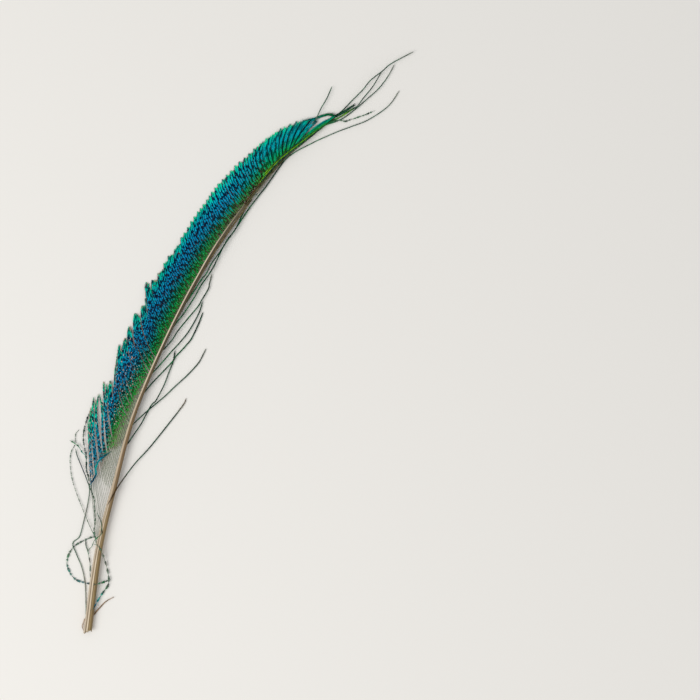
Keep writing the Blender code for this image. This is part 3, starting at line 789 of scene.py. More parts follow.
def barb_at(barb, t, middle=False):
    """Points on barbs by number at shares t, or on the middle line of each barb's group.

    The place in the table goes part of the way to the group's place, and near the tip towards the
    tooth's, both by smoothsteps of t. The sway is a sine of t in x, growing with t. A root
    starts lower by ROOT_SINK, inside the shaft.
    """
    gathered = PULL[barb] * smoothstep(0, GATHERING, t - PULL_START[barb])
    gathered = 1.0 if middle else gathered
    place = PLACE[barb] + (GROUP[barb] - PLACE[barb]) * gathered
    pointed = table(TOOTH_PULL, STATION[barb]) * smoothstep(TOOTH_START[barb], 1.0, t)
    place = place + (TOOTH[barb] - place) * pointed
    point = vane_point(place, t * TIP_SHARE[barb])
    point[..., 0] += SWAY[barb] * np.sin(2 * SWAY_WAVES * np.pi * t + PHASE[barb]) * t
    point[..., 2] += VANE_TOP + LIFT[barb] * np.minimum(3 * t, 1)
    point[..., 2] += table(ROOT_RAISE, STATION[barb]) * (1 - t) ** 3
    point[..., 2] -= ROOT_SINK * (1 - smoothstep(0.0, SUNK_SHARE, t))
    return point


first_barb = barb_at(np.array([0, 0]), np.array([0.0, 1.0]))
print("lowest barb's root and tip on the page, mm:", np.round(first_barb, 1).tolist())

# %% [markdown]
# ## Measuring the barbs
#
# Three things are measured on the finished curves, which the blades need later: how long each barb
# is, how far off its neighbours lie, so that blades just fill the space between, and where it
# leaves the pale film beside the shaft. The distances are found by comparing every step of one
# barb with every step of the next, which numpy does for all barbs at once.

# %% Measuring the barbs
GAP_STEPS = 24
FINE_STEPS = 120


def barb_lengths():
    """Each barb's length, summed over short straight steps."""
    t = np.linspace(0, 1, 33)[None, :]
    line = barb_at(np.arange(BARBS)[:, None], t)
    return np.linalg.norm(np.diff(line, axis=1), axis=-1).sum(axis=1)


def even_lines(steps):
    """All barbs at even shares of t, as (barb, step, xy)."""
    return barb_at(np.arange(BARBS)[:, None], np.linspace(0, 1, steps + 1)[None, :])[..., :2]


def barb_gaps():
    """Distance in plan from each barb, at even shares, to the barb before it and to the one after."""
    numbers = np.arange(BARBS)
    here = even_lines(GAP_STEPS)
    there = even_lines(FINE_STEPS)
    gaps = []
    for neighbour in (np.maximum(numbers - 1, 0), np.minimum(numbers + 1, BARBS - 1)):
        apart = here[:, :, None] - there[neighbour][:, None]
        gaps.append(np.linalg.norm(apart, axis=-1).min(axis=2))
    gaps[0][0] = gaps[1][0]
    gaps[1][-1] = gaps[0][-1]
    return np.stack(gaps)


def gap_at(barb, t, side):
    """The gap beside a barb at share t, on its left (side -1) or right (side 1), read between steps."""
    steps = np.clip(t, 0, 1) * GAP_STEPS
    low = np.minimum(steps.astype(int), GAP_STEPS - 1)
    row = (side > 0).astype(int)
    return GAPS[row, barb, low] * (1 - steps + low) + GAPS[row, barb, low + 1] * (steps - low)


def film_shares():
    """The share of each barb at which it leaves the film: the first fine step that lies outside."""
    near_shaft = SHAFT_LINE[None, None, ::3]
    far = np.linalg.norm(even_lines(FINE_STEPS)[:, :, None] - near_shaft, axis=-1)
    foot = SHAFT_ALONG[::3][far.argmin(axis=2)]
    outside = far.min(axis=2) > table(FILM_WIDTH, foot)
    return np.maximum(outside.argmax(axis=1), 1) / FINE_STEPS


GAPS = barb_gaps()
FILM_SHARE = film_shares()
LENGTH = barb_lengths()
LONGEST = float(LENGTH.max()) * 1.03  # a blade may pass its barb's tip by a little
print("barb lengths, mm:", np.round([LENGTH.min(), LENGTH.mean(), LENGTH.max()], 1))

# %% [markdown]
# ## The barbs' ribs
#
# Low on the feather a barb's rib is bare and pale near the shaft. In the vane it takes the colours
# of the barbules on it but duller, green by the shaft and navy further out, so that where it shows
# between them it looks like more of the same. Its colours are read by one number, the hue: how far
# along its change of colour a point is, from 0 at the root to 1 at the tip.

# %% The ribs' colours
FILM_HUE = 0.15  # up to this hue, a barb is in the film beside the shaft
RIB_LOWER = [
    (0.00, 212, 214, 206), (0.10, 190, 194, 180), (0.18, 60, 96, 60), (0.80, 16, 48, 60),
    (1.00, 30, 90, 80),
]
# Near their roots the upper ribs are painted dark green, as painted shade at the barbs' roots.
RIB_UPPER = [
    (0.00, 28, 84, 36), (0.24, 14, 80, 46), (0.44, 34, 50, 60), (0.85, 10, 44, 66),
    (1.00, 10, 110, 90),
]
RIB_TIP = [(0.15, 60, 90, 24), (0.40, 4, 70, 50), (1.00, 0, 60, 66)]


def hue_of(barb, t):
    """Where a barb stands in its change of colour: up to FILM_HUE in the film, then 1 at its tip."""
    start = FILM_SHARE[barb]
    grey = FILM_HUE * t / start
    first = table(GREEN_FROM, STATION[barb])
    coloured = first + (1 - first) * table(COLOUR_SPAN, STATION[barb]) * (t - start) / (1 - start)
    return np.where(t < start, grey, coloured)


def rib_material():
    """Three ramps of dull greens and blues up the feather, greyer in the lowest film, mottled."""
    material, tree, shader = new_material("barb_ribs", 0.5, 0.0, 0.3)
    hue, station, _ = parts_of(tree, "place")
    lowest = map_range(tree, station, 0.23, 0.16)
    in_film = product(tree, lowest, math_node(tree, "LESS_THAN", hue, FILM_HUE))
    colour = mix(tree, in_film, ramp(tree, hue, RIB_LOWER), paint(136, 146, 128))
    colour = mix(tree, map_range(tree, station, 0.38, 0.52), colour, ramp(tree, hue, RIB_UPPER))
    colour = mix(tree, map_range(tree, station, 0.81, 0.86), colour, ramp(tree, hue, RIB_TIP))
    uv = add(tree, "ShaderNodeUVMap", uv_map="OFBake").outputs[0]
    colour, _ = mottled(tree, colour, paint(200, 196, 192), uv, 300.0, 2.0, 0.35, 0.65)
    tree.links.new(colour, shader.inputs["Base Color"])
    return material


RIB_PAINT = rib_material()
print("material:", RIB_PAINT.name)

# %% [markdown]
# ## The ribs' tubes
#
# A rib is a thin tapering tube, too thin to need more than four sides. A bevelled curve for each
# barb would look the same, but one mesh of all the ribs is easier to handle, and two marks on its
# points, the hue and the root's place along the shaft, are all that its colours need.

# %% The ribs' tubes
RIB_RINGS = 30
RIB_SIDES = 4
RIB_THICKNESS = (0.11, 0.04)  # its radius at the root and at the tip


def make_ribs():
    """Tubes along the barbs, each with a row of its own in the UV map."""
    barb = np.arange(BARBS)[:, None]
    t = np.linspace(0, 1.0, RIB_RINGS)[None, :]
    thick, thin = RIB_THICKNESS
    radius = thick - (thick - thin) * t + 0 * barb
    points = round_sections(barb_at(barb, t), radius, RIB_SIDES)
    sides = np.zeros((1, 1, RIB_SIDES))
    hue = hue_of(barb, t)[..., None] + sides
    station = (STATION[barb] / SHAFT_LENGTH + 0 * t)[..., None] + sides
    place = np.stack([hue, station, 0 * hue], axis=-1)
    u = (t * LENGTH[barb] / LONGEST)[..., None] + sides
    v = ((barb + 0.5) / BARBS + 0 * t)[..., None] + np.array([0.0, 0.1, 0.2, 0.1]) / BARBS
    faces = tube_triangles(BARBS, RIB_RINGS, RIB_SIDES)
    mesh_piece(
        "barb_ribs", with_ends(points), faces, with_ends(np.stack([u, v], axis=-1)),
        {"place": with_ends(place)}, RIB_PAINT, "feather_barbs",
    )


make_ribs()

# %% [markdown]
# ## Barbules: the blades that carry the colour
#
# From both sides of a rib grow barbules, each a flat blade that leans towards the barb's tip. One
# blade here has five points and six triangles: its root, its two edges and its keel at the middle,
# and its tip. More than a hundred thousand of them are placed in a few calculations, since every
# step works on whole arrays. A blade that would cut into what the feather lies on is lifted onto it.

# %% Blades
PAGE_GAP = 0.02  # no blade comes nearer to the page than this
WIDEST = 0.42  # the share of its length at which a blade is widest
BOW = 0.06  # how far it bows up there, as a share of its length
KEEL = 0.3  # how deep its keel is, as a share of its width


def blades(root, ahead, side, length, spread, droop, width, roll):
    """Closed blades as (blade, 5, xyz): root, left edge, right edge, keel, tip.

    A blade's axis leaves the strand's direction by the angle spread, out to the side and down by
    the angle droop. Its width lies across that axis, turned about it by the angle roll.
    """
    right = unit(np.cross(ahead, [0, 0, 1]))
    up = np.cross(right, ahead)
    out = side[:, None] * right * np.cos(droop)[:, None] - up * np.sin(droop)[:, None]
    axis = np.cos(spread)[:, None] * ahead + np.sin(spread)[:, None] * out
    flat = unit(np.cross(axis, unit(np.cross(up, axis))))
    across = np.cross(axis, flat)
    normal = flat * np.cos(roll)[:, None] + across * np.sin(roll)[:, None]
    half = np.cross(axis, normal) * (width / 2)[:, None]
    middle = root + axis * (WIDEST * length)[:, None] + up * (BOW * length)[:, None]
    keel = middle - normal * (KEEL * width)[:, None]
    tip = root + axis * length[:, None]
    points = np.stack([root, middle - half, middle + half, keel, tip], axis=1)
    points[..., 2] += np.maximum(PAGE_GAP - points[..., 2].min(axis=1, keepdims=True), 0)
    return points


BLADE_FACES = np.array([(0, 2, 1), (4, 1, 2), (0, 3, 2), (0, 1, 3), (4, 2, 3), (4, 3, 1)])
BLADE_ACROSS = np.array([0.0, WIDEST, WIDEST, WIDEST, 1.0])  # how far out each of its points lies


def blade_faces(count):
    """Each blade's six triangles, five points further on than those of the blade before it."""
    return (BLADE_FACES[None] + 5 * np.arange(count)[:, None, None]).reshape(-1, 3)


print("triangles of one blade:", len(BLADE_FACES))

# %% [markdown]
# ## Rows of blades along the barbs
#
# Both barbules and down are rows of blades along the barbs, so what they share is here: where the
# blades of many barbs grow, which way the barb runs there, and the blades' UVs. Long barbs carry
# more blades than short ones, and np.repeat makes one long list of them all without a loop.

# %% Rows of blades
LINE_SPREAD = 0.45  # how far a blade leaves the middle of its barb's line in the UV map


def spots_along(numbers, bare, end, step):
    """Of every blade on these barbs: its barb, its share t, the share its row begins at, its side.

    Each side of a barb has length * (end - bare) / step blades, and they stand in the middles of
    as many equal parts of the stretch from bare to end.
    """
    counts = (LENGTH[numbers] * (end - bare) / step).astype(int)
    barb = np.repeat(numbers, counts)
    begin = np.repeat(bare, counts)
    turn = np.arange(len(barb)) - np.repeat(np.cumsum(counts) - counts, counts)
    t = begin + (end - begin) * (turn + 0.5) / np.repeat(counts, counts)
    side = np.repeat([-1.0, 1.0], len(barb))
    return np.tile(barb, 2), np.tile(t, 2), np.tile(begin, 2), side


def heading_at(barb, t):
    """The direction of a barb at share t."""
    return unit(barb_at(barb, t + 0.01) - barb_at(barb, t - 0.01))


def run_and_uv(barb, t, side, length, spread, first, last):
    """The distance along the barb of each blade's points, and their UVs for barbs first to last."""
    run = (t * LENGTH[barb])[:, None] + BLADE_ACROSS * (length * np.cos(spread))[:, None]
    line = (barb - first + 0.5)[:, None] + LINE_SPREAD * side[:, None] * BLADE_ACROSS
    return run, np.stack([run / LONGEST, line / (last - first)], axis=-1).reshape(-1, 2)


example = spots_along(np.array([0]), 0.0, 1.0, 0.5)
print("blades on the lowest barb, with one at every half millimetre of each side:", len(example[0]))

# %% [markdown]
# ## The blades' colours
#
# A peacock's colours come from layers inside the barbules and not from dye, and they shift along
# each barb: green by the shaft, then deep blue, then turquoise at the vane's edge. A colour ramp
# read at a barb's place in that change gives the bright dashes, painted glints, and a second,
# darker ramp gives the gaps, painted shade. Both have versions for the middle of the feather, its
# upper part and its tip.

# %% The blades' colours
# The BRIGHT ramps are the colours of painted glints, the DARK ramps those of painted shade.
# (hue, red, green, blue)
BRIGHT_MIDDLE = [
    (0.00, 164, 168, 152), (0.10, 146, 158, 130), (0.145, 110, 160, 90), (0.18, 46, 168, 60),
    (0.25, 16, 170, 72), (0.31, 6, 152, 98), (0.40, 0, 146, 154), (0.57, 4, 150, 208),
    (0.73, 0, 184, 226), (0.84, 0, 226, 222), (0.93, 0, 238, 204), (1.00, 12, 214, 160),
]
DARK_MIDDLE = [
    (0.00, 124, 128, 112), (0.10, 104, 116, 90), (0.145, 50, 90, 40), (0.18, 8, 74, 26),
    (0.25, 2, 62, 30), (0.32, 2, 36, 38), (0.42, 6, 32, 54), (0.57, 6, 28, 58), (0.73, 4, 36, 64),
    (0.84, 0, 52, 68), (0.93, 0, 84, 84), (1.00, 0, 92, 68),
]
BRIGHT_UPPER = [
    (0.15, 140, 138, 88), (0.19, 106, 142, 84), (0.23, 56, 146, 78), (0.28, 10, 154, 104),
    (0.33, 0, 152, 148), (0.39, 0, 150, 188), (0.47, 0, 158, 206), (0.57, 0, 174, 220),
    (0.73, 0, 212, 232), (0.84, 0, 252, 232), (0.93, 0, 255, 204), (1.00, 36, 255, 176),
]
DARK_UPPER = [
    (0.15, 50, 56, 32), (0.22, 30, 66, 34), (0.28, 2, 60, 48), (0.34, 0, 52, 66), (0.41, 0, 44, 70),
    (0.50, 0, 34, 68), (0.73, 0, 50, 82), (0.84, 0, 90, 104), (1.00, 0, 144, 122),
]
BRIGHT_TIP = [
    (0.15, 104, 170, 36), (0.20, 66, 180, 54), (0.27, 14, 184, 92), (0.35, 0, 190, 136),
    (0.45, 0, 188, 172), (0.57, 0, 188, 202), (0.73, 0, 196, 206), (0.84, 0, 226, 208),
    (0.93, 0, 250, 196), (1.00, 30, 236, 164),
]
DARK_TIP = [
    (0.15, 30, 46, 16), (0.22, 12, 62, 22), (0.28, 0, 66, 34), (0.36, 0, 56, 42), (0.46, 0, 40, 46),
    (0.73, 0, 30, 44), (0.84, 0, 34, 50), (1.00, 0, 54, 56),
]
TIP_CAP = paint(170, 150, 124)
SPECK_PALE = paint(206, 184, 170)
SPECK_BROWN = paint(84, 42, 46)
TEALER = paint(255, 255, 230)  # what the lowest barbs' colours are multiplied by
print("stops of the bright ramps:", [len(stops) for stops in (BRIGHT_MIDDLE, BRIGHT_UPPER, BRIGHT_TIP)])

# %% [markdown]
# ## The barbules' sheen
#
# The colour of a point is a mix of the bright and the dark ramp, painted glint over painted shade,
# and the share of the bright one is a product of simple masks, each a node or two: the dashes, the
# painted shade line at a strip's edges, a little chance from blade to blade, and a calmer lower
# part. Pale and brown specks, where ribs and down show through a real vane, are dashes again. The
# first two numbers of a map_range are where a change begins and ends, as a share of the shaft's
# length (station) or of the change of colour (hue), so the lines can be read as a list of what
# happens where.

# %% The barbule material
DASH_LENGTH = 1.6
DASH_EDGE = 0.09  # from dark to bright, in units of the noise
SPECK_ROWS = 57.0  # specks read the noise this far from the dashes, so they fall elsewhere
CAP_HUE = 0.97  # from this hue on, a tip may have a pale cap
CAP_CHOICE = 0.4  # and has one where the sine of its row is above this


def by_station(tree, place_in_change, station, ramps):
    """One colour from three ramps: the middle's, giving way to the upper part's, then the tip's."""
    middle, upper, tip = (ramp(tree, place_in_change, stops) for stops in ramps)
    colour = mix(tree, map_range(tree, station, 0.65, 0.76), middle, upper)
    return mix(tree, map_range(tree, station, 0.75, 0.85), colour, tip)


def painted_light_share(tree, hue, station, edge, strand):
    """The share of the bright colour, painted glint over painted shade: the dashes' mask and its dimmers.

    The dashes' threshold falls up the feather and, in its upper part, towards a barb's tip, so
    that more is bright there. At the feather's tip the dashes give way to an even sheen.
    """
    along, row, own = strand
    outward = product(tree, map_range(tree, hue, 0.74, 0.92, 0.0, 0.06), map_range(tree, station, 0.52, 0.66))
    low = math_node(tree, "SUBTRACT", map_range(tree, station, 0.46, 0.74, 0.465, 0.425), outward)
    mask = dashes(tree, along, row, DASH_LENGTH, low, math_node(tree, "ADD", low, DASH_EDGE))
    mask = math_node(tree, "MAXIMUM", mask, map_range(tree, station, 0.83, 0.93, 0.0, 0.80))
    # A painted shade line, darker towards a barb's or strip's edge.
    edge_shade = map_range(tree, edge, 0.36, 0.80, 1.0, 0.0)
    calm = product(tree, map_range(tree, station, 0.42, 0.60, 0.22, 0.0), map_range(tree, hue, 0.70, 0.86))
    return product(tree, mask, edge_shade, own, math_node(tree, "SUBTRACT", 1.0, calm))


def with_specks(tree, colour, hue, station, strand):
    """Adds pale specks in the lower vane, brown ones above, and pale caps on some lower tips."""
    along, row, _ = strand
    other = math_node(tree, "ADD", row, SPECK_ROWS)
    in_colour = math_node(tree, "GREATER_THAN", hue, 0.20)
    lower = math_node(tree, "LESS_THAN", station, 0.44)
    above = math_node(tree, "SUBTRACT", math_node(tree, "LESS_THAN", station, 0.85), lower)
    sparse = map_range(tree, station, 0.16, 0.26, 0.57, 0.64)
    pale = dashes(tree, along, other, 1.2, sparse, math_node(tree, "ADD", sparse, 0.03))
    brown = dashes(tree, along, other, 0.9, 0.66, 0.71)
    colour = mix(tree, product(tree, brown, above, in_colour), colour, SPECK_BROWN)
    colour = mix(tree, product(tree, pale, lower, in_colour), colour, SPECK_PALE)
    at_tip = math_node(tree, "GREATER_THAN", hue, CAP_HUE)
    chosen = math_node(tree, "GREATER_THAN", math_node(tree, "SINE", row), CAP_CHOICE)
    capped = product(tree, at_tip, chosen, math_node(tree, "LESS_THAN", station, 0.56))
    return mix(tree, capped, colour, TIP_CAP)


def barbule_material():
    """Ramps at the barb's place in its change of colour: dashes of painted glint over painted shade."""
    material, tree, shader = new_material("barbule_sheen", 0.40, 0.35, 0.05)
    hue, station, edge = parts_of(tree, "place")
    strand = parts_of(tree, "strand")
    drift = dashes(tree, strand[0], strand[1], DASH_LENGTH, 0.3, 0.7)
    moved = math_node(tree, "ADD", hue, math_node(tree, "MULTIPLY_ADD", drift, 0.12, -0.06))
    bright = by_station(tree, moved, station, (BRIGHT_MIDDLE, BRIGHT_UPPER, BRIGHT_TIP))
    dark = by_station(tree, moved, station, (DARK_MIDDLE, DARK_UPPER, DARK_TIP))
    colour = mix(tree, painted_light_share(tree, hue, station, edge, strand), dark, bright)
    colour = mix(tree, map_range(tree, station, 0.36, 0.26), colour, TEALER, "MULTIPLY")
    colour = with_specks(tree, colour, hue, station, strand)
    tree.links.new(colour, shader.inputs["Base Color"])
    return material


BARBULE_SHEEN = barbule_material()
print("material:", BARBULE_SHEEN.name, "with", len(BARBULE_SHEEN.node_tree.nodes), "nodes")

# %% [markdown]
# ## How barbules vary along the feather
#
# Low on the feather each barb keeps to itself, and its barbules hardly reach the next one. Higher
# up they overlap, and the strips look like single ribbons. So the marks on a blade's points differ
# too: above STRIPS_FROM the dashes follow the strip, and the painted shade towards an edge is
# measured from the strip's middle.

# %% How barbules vary
BARBULE_STEP = 0.11  # along a barb, between the roots of one side's blades
# The most that a blade reaches to its side, in millimetres.
BARBULE_REACH = [
    (38, 0.35), (66, 0.38), (79, 0.42), (92, 0.50), (138, 0.60), (148, 0.95), (245, 0.95),
    (256, 1.3), (262, 1.2), (264, 0.9), (267, 0.6), (300, 0.6),
]
GAP_SHARE = 0.64  # of the gap to the next barb, how much a blade reaches across
LEAST_REACH = 0.3
FILM_FROM = 60.0  # barbs from here up have longer blades in the film beside the shaft
STREAK_WIDTH = 1.6  # across a barb, the millimetres that one unit of the dashes' noise covers
ROWS_APART = 7  # units of it between two strips, barbs or strands, so that none of them match
INNER_SHARE = 0.72  # past this share of a barb, dashes get twice as long


def barbule_reach(barb, t, begin, side, in_strip):
    """How far each blade reaches to its side, before chance.

    It is GAP_SHARE of the gap to the next barb within limits, times a taper over the last 3 mm, a
    slow start, and, on the lowest barbs outside the film, a wave along the barb that looks like
    beads: 1 - 0.5 sin^2.
    """
    station, length = STATION[barb], LENGTH[barb]
    blunt = 0.55 + 0.30 * in_strip
    taper = blunt + (1 - blunt) * smoothstep(0.0, 3.0, (1 - t) * length)
    growing = 1 - 0.4 * (1 - in_strip) * (1 - smoothstep(0.0, 0.05, t - begin))
    film = (1 - smoothstep(0.10, 0.17, hue_of(barb, t))) * (station > FILM_FROM)
    lowest = 1 - smoothstep(84, 96, station)
    beads = 1 - 0.5 * lowest * (1 - film) * np.sin(t * length * 1.9 + 3.1 * barb) ** 2
    limit = table(BARBULE_REACH, station) * (1 + 0.8 * film)
    return np.clip(GAP_SHARE * gap_at(barb, t, side), LEAST_REACH, limit) * taper * growing * beads


def dash_phase(barb, run):
    """The distance that the dashes are read at: slower up the feather and near a barb's tip."""
    station = STATION[barb]
    pace = 1.08 - 0.18 * smoothstep(136, 150, station) - 0.2 * smoothstep(185, 210, station)
    pace = pace - 0.3 * smoothstep(244, 258, station)
    inner = (INNER_SHARE * LENGTH[barb])[:, None]
    return (np.minimum(run, inner) + 0.5 * np.maximum(run - inner, 0)) * pace[:, None]


def edge_marks(barb, t, side, sideways, in_strip):
    """0 in a barb's or strip's middle, 1 at its edge, less at the narrowing tip: where shade is painted."""
    sharing = np.where(in_strip > 0, GROUP_SIZE[barb], 1)
    half_width = np.clip((0.5 * sharing + 0.05) * gap_at(barb, t, side), 0.3, 1.8)
    return np.abs(sideways) / half_width[:, None] * (1 - 0.7 * smoothstep(0.93, 0.99, t))[:, None]


print("a barbule's reach in mm, lowest to highest:", [reach for _, reach in BARBULE_REACH])

# %% [markdown]
# ## Barbules on every barb
#
# Now the blades are made: where they grow, how each is turned and how long it is, each with a
# little chance in it, and then the marks that their material reads. They are four pieces from the
# quill's end to the tip, because one mesh of them all would be too heavy to handle.

# %% Barbules on every barb
BARBULE_WIDTH = 0.16
BARBULE_RAISE = 0.1  # a blade's root above its rib's middle
OVERHANG = 0.9  # how far a blade may pass its barb's tip


def barbule_arrays(first, last):
    """Blades, UVs and marks for the barbs numbered from first to before last."""
    numbers = np.arange(first, last)
    bare = table(BARE_SHARE, STATION[numbers])
    barb, t, begin, side = spots_along(numbers, bare, 1.0, BARBULE_STEP)
    many = len(barb)
    in_strip = (STATION[barb] > STRIPS_FROM).astype(float)
    root, ahead = barb_at(barb, t), heading_at(barb, t)
    right = unit(np.cross(ahead, [0, 0, 1]))
    offset = in_strip * ((root - barb_at(barb, t, middle=True)) * right).sum(axis=1)
    root[:, 2] += BARBULE_RAISE

    left_over = (1 - t) * LENGTH[barb]
    opening = 26 - 6 * t + 16 * (1 - smoothstep(0.5, 2.5, left_over))
    spread = np.radians(opening + chance.normal(0, 3, many))
    reach = barbule_reach(barb, t, begin, side, in_strip) * chance.uniform(0.85, 1.1, many)
    length = np.minimum(reach / np.sin(spread), left_over + OVERHANG)
    droop = np.radians(14 + chance.normal(0, 4, many))
    width = BARBULE_WIDTH * chance.uniform(0.8, 1.2, many)
    roll = np.radians(chance.normal(0, 9, many))
    points = blades(root, ahead, side, length, spread, droop, width, roll)

    even = 0 * BLADE_ACROSS
    run, uv = run_and_uv(barb, t, side, length, spread, first, last)
    sideways = offset[:, None] + (side * length * np.sin(spread))[:, None] * BLADE_ACROSS
    edge = edge_marks(barb, t, side, sideways, in_strip)
    hue = (hue_of(barb, t) + chance.normal(0, 0.012, many))[:, None] + even
    place = np.stack([hue, (STATION[barb] / SHAFT_LENGTH)[:, None] + even, edge], axis=-1)
    line = np.where(in_strip > 0, GROUP_NUMBER[barb], barb)
    row = (line * ROWS_APART)[:, None] + sideways / STREAK_WIDTH
    own = chance.uniform(0.85, 1.0, many)[:, None] + even
    strand = np.stack([dash_phase(barb, run), row, own], axis=-1)
    marks = {"place": place.reshape(-1, 3), "strand": strand.reshape(-1, 3)}
    return points.reshape(-1, 3), blade_faces(many), uv, marks


BARBULE_PIECES = {"lower": (38, 130), "middle": (130, 180), "upper": (180, 232), "end": (232, 300)}
for part, stretch in BARBULE_PIECES.items():
    arrays = barbule_arrays(*np.searchsorted(STATION, stretch))
    mesh_piece("barbules_" + part, *arrays, BARBULE_SHEEN, "feather_barbs", smooth=False)

# %% [markdown]
# ## Down under the barbs
#
# In the lower vane the strips don't touch, and what shows between them is thin pinkish down, the
# barbules' pale lower rows. Further up the same rows are painted dark, a sheet of painted shade
# that closes the vane from below and shows between the barbs. They are a sparser set of the same
# blades, set lower than the ribs, and end before a barb's tip.

# %% Down under the barbs
# Along a barb, between the roots of one side's blades, in millimetres.
DOWN_STEP = [(38, 0.40), (140, 0.40), (160, 0.55), (300, 0.55)]
# The share of a barb, from its root, that has no down.
DOWN_BARE = [(38, 0.50), (56, 0.40), (64, 0.20), (70, 0.04), (100, 0.0)]
# How far the down reaches to its side, in millimetres.
DOWN_REACH = [(38, 0.24), (60, 0.30), (79, 0.50), (107, 0.7), (300, 0.8)]
DOWN_END = 0.93  # the share of a barb at which its down ends
DOWN_WIDTH = 0.16
DOWN_SINK = 0.15  # a blade's root below its rib's middle
DOWN_PALE = [
    (0.00, 170, 178, 158), (0.12, 176, 182, 162), (0.20, 196, 178, 164), (1.00, 204, 180, 166),
]
# The upper rows' dark green and navy are painted shade that shows between the barbs.
DOWN_PAINTED_SHADE = [(0.15, 14, 64, 28), (0.30, 4, 50, 36), (0.45, 0, 30, 44), (1.00, 0, 60, 62)]


def down_material():
    """Pale grey and pinkish beige in the lower vane, dark green and navy painted shade above, mottled."""
    material, tree, shader = new_material("down_with_painted_shade", 0.7, 0.0, 0.1)
    hue, station, _ = parts_of(tree, "place")
    upwards = map_range(tree, station, 0.48, 0.56)
    colour = mix(tree, upwards, ramp(tree, hue, DOWN_PALE), ramp(tree, hue, DOWN_PAINTED_SHADE))
    uv = add(tree, "ShaderNodeUVMap", uv_map="OFBake").outputs[0]
    colour, _ = mottled(tree, colour, paint(214, 210, 206), uv, 120.0, 2.0, 0.35, 0.65)
    tree.links.new(colour, shader.inputs["Base Color"])
    return material


def down_arrays():
    """Thin blades under the barbs, on both sides, with their UVs and marks."""
    bare, step = table(DOWN_BARE, STATION), table(DOWN_STEP, STATION)
    barb, t, _, side = spots_along(np.arange(BARBS), bare, DOWN_END, step)
    many = len(barb)
    reach = table(DOWN_REACH, STATION[barb]) * chance.uniform(0.7, 1.1, many)
    reach = reach * (0.4 + 0.6 * smoothstep(1.0, 8.0, (1 - t) * LENGTH[barb]))
    spread = np.radians(chance.normal(22, 4, many))
    length = reach / np.sin(spread)
    droop = np.radians(18 + chance.normal(0, 6, many))
    width = DOWN_WIDTH * chance.uniform(0.8, 1.2, many)
    root = barb_at(barb, t)
    root[:, 2] -= DOWN_SINK
    points = blades(root, heading_at(barb, t), side, length, spread, droop, width, 0 * t)
    _, uv = run_and_uv(barb, t, side, length, spread, 0, BARBS)
    hue, station = hue_of(barb, t), STATION[barb] / SHAFT_LENGTH
    place = np.repeat(np.stack([hue, station, 0 * hue], axis=-1), len(BLADE_ACROSS), axis=0)
    return points.reshape(-1, 3), blade_faces(many), uv, {"place": place}


mesh_piece("barb_down", *down_arrays(), down_material(), "feather_barbs", smooth=False)

# %% [markdown]
# ## The loose strands
#
# On the right of the shaft, at the lower left and past the tip, barbs grow so far apart that each
# one curls on its own: these are herls. Their routes were placed along the photograph, as
# (x, y, height) in page millimetres. Each is a thin rib with short barbules, and where a strand is
# twisted, its two rows of barbules turn about it, which is what makes it look like beads.

